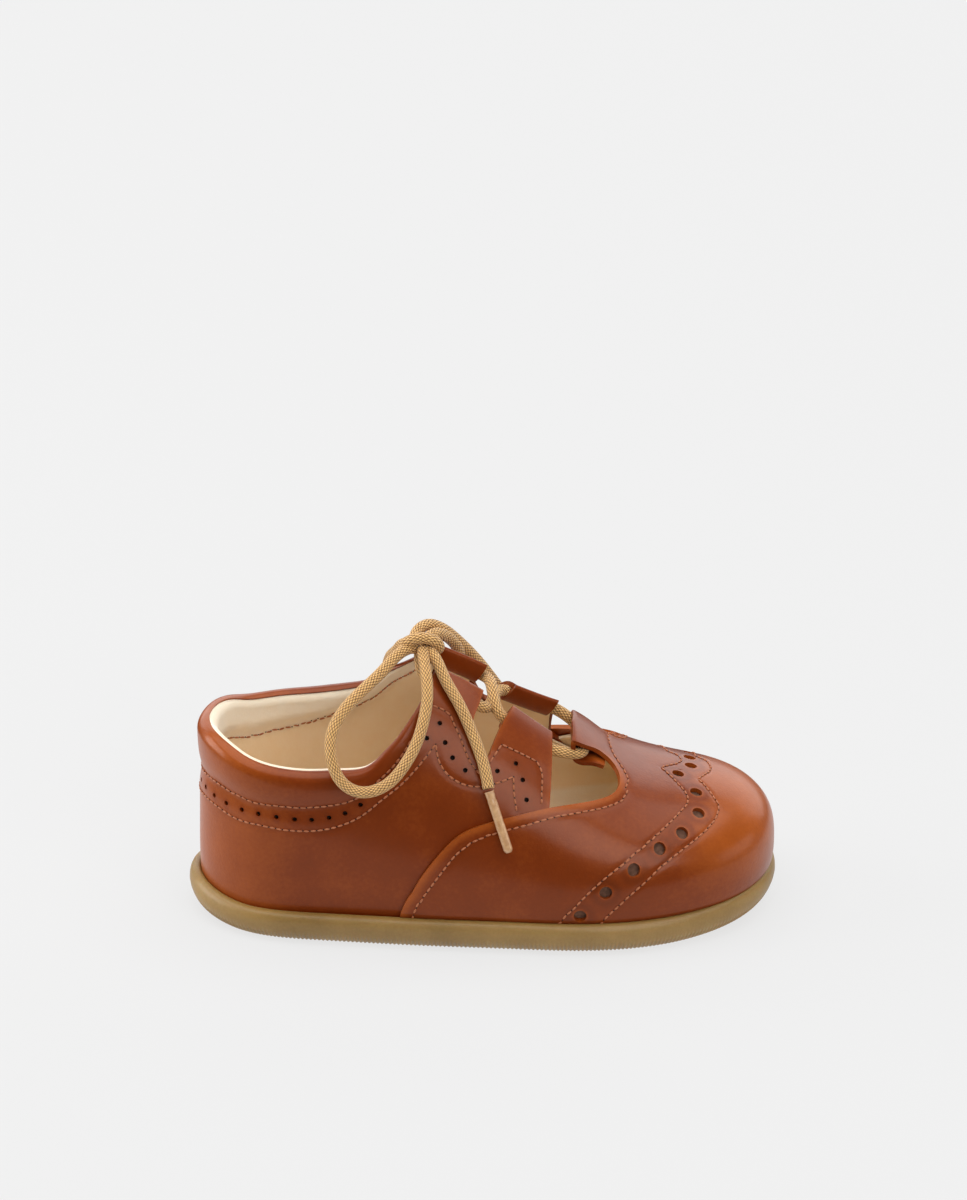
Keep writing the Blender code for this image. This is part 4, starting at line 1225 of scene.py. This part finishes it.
# Lace
laceLook = {
    "radius": 1.4,
    "around": 24,
    "step": 0.5,
    "bowLateral": [
        (-15.6, -3.0, 67.2), (-18.6, -5.2, 67.0), (-23.2, -10.5, 64.6), (-30.6, -18.2, 60.2), (-35.3, -23.2, 54.2),
        (-34.9, -26.6, 46.8), (-32.2, -27.5, 42.6), (-28.6, -27.8, 41.0), (-24.6, -27.6, 41.6), (-21.4, -27.1, 43.6),
        (-18.2, -25.7, 47.2), (-15.8, -23.6, 51.0), (-13.9, -20.4, 55.8), (-13.0, -16.4, 60.4), (-13.6, -9.6, 65.2),
        (-14.2, -4.6, 67.0),
    ],
    "endLateral": [
        (-13.4, -3.2, 67.0), (-11.2, -6.6, 65.8), (-8.9, -10.8, 62.4), (-6.1, -14.3, 58.6), (-2.5, -18.9, 52.2),
        (0.3, -23.1, 45.6), (1.4, -25.9, 41.0),
    ],
    "tipLateral": [(1.5, -26.2, 40.4), (6.2, -30.6, 26.6)],
    "bowMedial": [
        (-16.1, -1.8, 66.0), (-16.1, 0.8, 67.2), (-15.3, 3.4, 68.2), (-13.3, 5.9, 68.5), (-10.5, 8.6, 66.8),
        (-6.0, 13.2, 61.1), (-1.2, 17.0, 53.9), (2.8, 20.2, 46.8), (4.8, 23.0, 41.0), (3.0, 25.0, 36.8),
        (-1.3, 25.8, 35.1), (-5.6, 25.0, 36.8), (-7.5, 23.0, 41.0), (-7.2, 20.0, 47.6), (-6.0, 16.2, 53.4),
        (-5.5, 12.3, 58.0), (-6.9, 9.3, 62.4), (-9.4, 6.0, 66.0), (-11.6, 2.8, 67.6), (-13.4, 0.2, 67.4),
    ],
    "endMedial": [
        (-16.8, -2.0, 67.4), (-18.6, 0.8, 66.0), (-20.0, 4.4, 63.0), (-21.2, 9.0, 59.6), (-22.0, 14.3, 56.0),
        (-22.9, 18.4, 50.6), (-23.6, 19.9, 43.4),
    ],
    "tipMedial": [(-23.7, 20.0, 42.8), (-24.4, 21.1, 28.6)],
    "knot": [
        (-15.0, 0.8, 65.2), (-17.4, -0.8, 65.6), (-18.5, -2.8, 67.2), (-17.3, -4.1, 69.0), (-14.6, -4.3, 69.9),
        (-11.9, -4.1, 69.3), (-10.4, -3.4, 67.6), (-10.8, -1.8, 65.9), (-12.8, -0.2, 65.2),
    ],
    "knotFeet": [(-14.8, -2.4, 66.6), (-14.8, 0.8, 66.2)],  # where the crossing lace enters the knot
    "tipRadius": 1.12,
}


def makeCord(name, points, nodes):
    path = routeThrough(points, laceLook["step"])
    bm = bmesh.new()
    layTube(bm, path, laceLook["radius"], laceLook["around"])
    return makePiece(name, bm, tanBraid, nodes), path


def makeTip(name, points, node):
    path = routeThrough(points, 0.4, False)
    share = np.linspace(0, 1, len(path))
    radii = laceLook["tipRadius"] * (1 - 0.35 * ease(0.955, 1.0, share) - 0.08 * bell(share - 0.12, 0.02))
    radii = radii * (1 + 0.08 * (1 - ease(0.0, 0.03, share)))
    bm = bmesh.new()
    layTube(bm, path, radii, laceLook["around"])
    return makePiece(name, bm, clearTip, [node])


for word in ("Lateral", "Medial"):
    low = word.lower()
    bow, path = makeCord("lace_loop_" + low, laceLook["bow" + word], ["lace_bow_" + low])
    tip = makeTip("lace_tip_" + low, laceLook["tip" + word], "aglet_" + low)
    end, path = makeCord("lace_tail_" + low, laceLook["end" + word], ["lace_end_" + low])


def tunnelWay(run, out, look, hint):  # the lace's middle inside a folded loop, from end to end
    places, normals, off = framesAlong(run, out, hint)
    middle = places + look["laceUp"] * off - look["laceIn"] * normals
    return [middle[0] + (middle[-1] - middle[0]) * share for share in (-0.06, 0.15, 0.5, 0.85, 1.06)]


def crossingRoute():
    ways = {}
    for side in (lateral, medial):
        for name in foldNames:
            run = sideEdges[side][name]
            ways[side, name] = tunnelWay(run, tabLift(run), quarterLook, (0, 0, 1))
    loop = tunnelWay(loopEnd, vampLift(loopEnd, lastPoint(*loopEnd.T)), vampLook, loopOff)[::-1]
    under = (ways[lateral, "rearFold"][-1] + ways[medial, "frontFold"][0]) / 2 + (0, 0, -1.0)
    over = (ways[medial, "rearFold"][-1] + ways[lateral, "frontFold"][0]) / 2 + (0, 0, 2.2)
    first, last = laceLook["knotFeet"]
    corners = [first] + ways[lateral, "rearFold"] + [under] + ways[medial, "frontFold"] + loop[1:-1]
    return corners + ways[lateral, "frontFold"][::-1] + [over] + ways[medial, "rearFold"][::-1] + [last]


makeCord("lace_crossing", crossingRoute(), ["lace_crossings"])
makeCord("lace_knot_wrap", laceLook["knot"], ["lace_knot"])


# Floor, light and camera
stageLook = {
    "floor": (0.11, 0.11, 0.11),
    "glow": 0.72,
    "world": 0.03,
    "table": (0.16, 0.10),  # the part of the floor that shows in reflections
    "reach": 6.0,
    # place, aim and size in metres, and watts
    "softboxes": {
        "top_softbox": ((0.0, 0.02, 1.30), (0, 0, 0), (2.2, 1.6), 25.0),
        "back_softbox": ((0.1, 1.10, 0.45), (0, 0, 0.05), (2.4, 0.8), 10.0),
        "heel_softbox": ((-1.0, 0.10, 0.36), (0, 0, 0.04), (0.8, 0.7), 8.0),
        "toe_softbox": ((1.0, -0.11, 0.16), (0, 0, 0.03), (0.7, 0.3), 1.0),
        "front_softbox": ((0.46, -0.94, 0.66), (0, 0, 0.03), (0.8, 0.55), 5.0),
    },
}


def makeFloor(look):
    finish = newFinish("studio_floor", {
        "Base Color": (*look["floor"], 1), "Roughness": 0.9, "Specular IOR Level": 0.0,
        "Emission Color": (1, 1, 1, 1), "Emission Strength": look["glow"],
    })[0]
    bm = bmesh.new()
    bmesh.ops.create_grid(bm, x_segments=3, y_segments=3, size=look["reach"])
    for vert in bm.verts:
        for axis in (0, 1):
            if abs(vert.co[axis]) < look["reach"] * 0.9:
                vert.co[axis] = math.copysign(look["table"][axis], vert.co[axis])
    middle = [face for face in bm.faces if face.calc_center_median().length < 0.01]
    table = bmesh.new()
    bmesh.ops.create_grid(table, x_segments=1, y_segments=1, size=1)
    bmesh.ops.scale(table, vec=(*look["table"], 1), verts=table.verts)
    bmesh.ops.delete(bm, geom=middle, context="FACES")
    for name, part, shines in (("studio_table", table, True), ("studio_floor", bm, False)):
        mesh = bpy.data.meshes.new(name)
        part.to_mesh(mesh)
        part.free()
        mesh.materials.append(finish)
        floor = bpy.data.objects.new(name, mesh)
        scene.collection.objects.link(floor)
        floor.visible_glossy = shines


def makeSoftbox(name, place, aim, size, watts):
    lamp = bpy.data.lights.new(name, "AREA")
    lamp.shape = "RECTANGLE"
    lamp.size, lamp.size_y = size
    lamp.energy = watts
    box = bpy.data.objects.new(name, lamp)
    box.location = place
    box.rotation_euler = (Vector(aim) - Vector(place)).to_track_quat("-Z", "Y").to_euler()
    scene.collection.objects.link(box)


makeFloor(stageLook)
world = bpy.data.worlds.new("studio")
world.use_nodes = True
sky = world.node_tree.nodes["Background"].inputs
sky["Color"].default_value, sky["Strength"].default_value = (1, 1, 1, 1), stageLook["world"]
scene.world = world
for name, setting in stageLook["softboxes"].items():
    makeSoftbox(name, *setting)

cameraLook = {"elevation": 26.0, "aim": (0.2, 0.0, 30.0), "lens": 300.0, "distance": 2375.0, "shift": 0.152}
camera = bpy.data.objects.new("camera", bpy.data.cameras.new("camera"))
lift = math.radians(cameraLook["elevation"])
away = Vector((0, -math.cos(lift), math.sin(lift)))
camera.location = (Vector(cameraLook["aim"]) + away * cameraLook["distance"]) * mm
camera.rotation_euler = (-away).to_track_quat("-Z", "Y").to_euler()
camera.data.lens = cameraLook["lens"]
camera.data.sensor_width = 36.0
camera.data.shift_y = cameraLook["shift"]
camera.data.clip_start, camera.data.clip_end = 0.01, 20.0
scene.collection.objects.link(camera)
scene.camera = camera
print("floor, light and camera set")

bpy.context.view_layer.update()
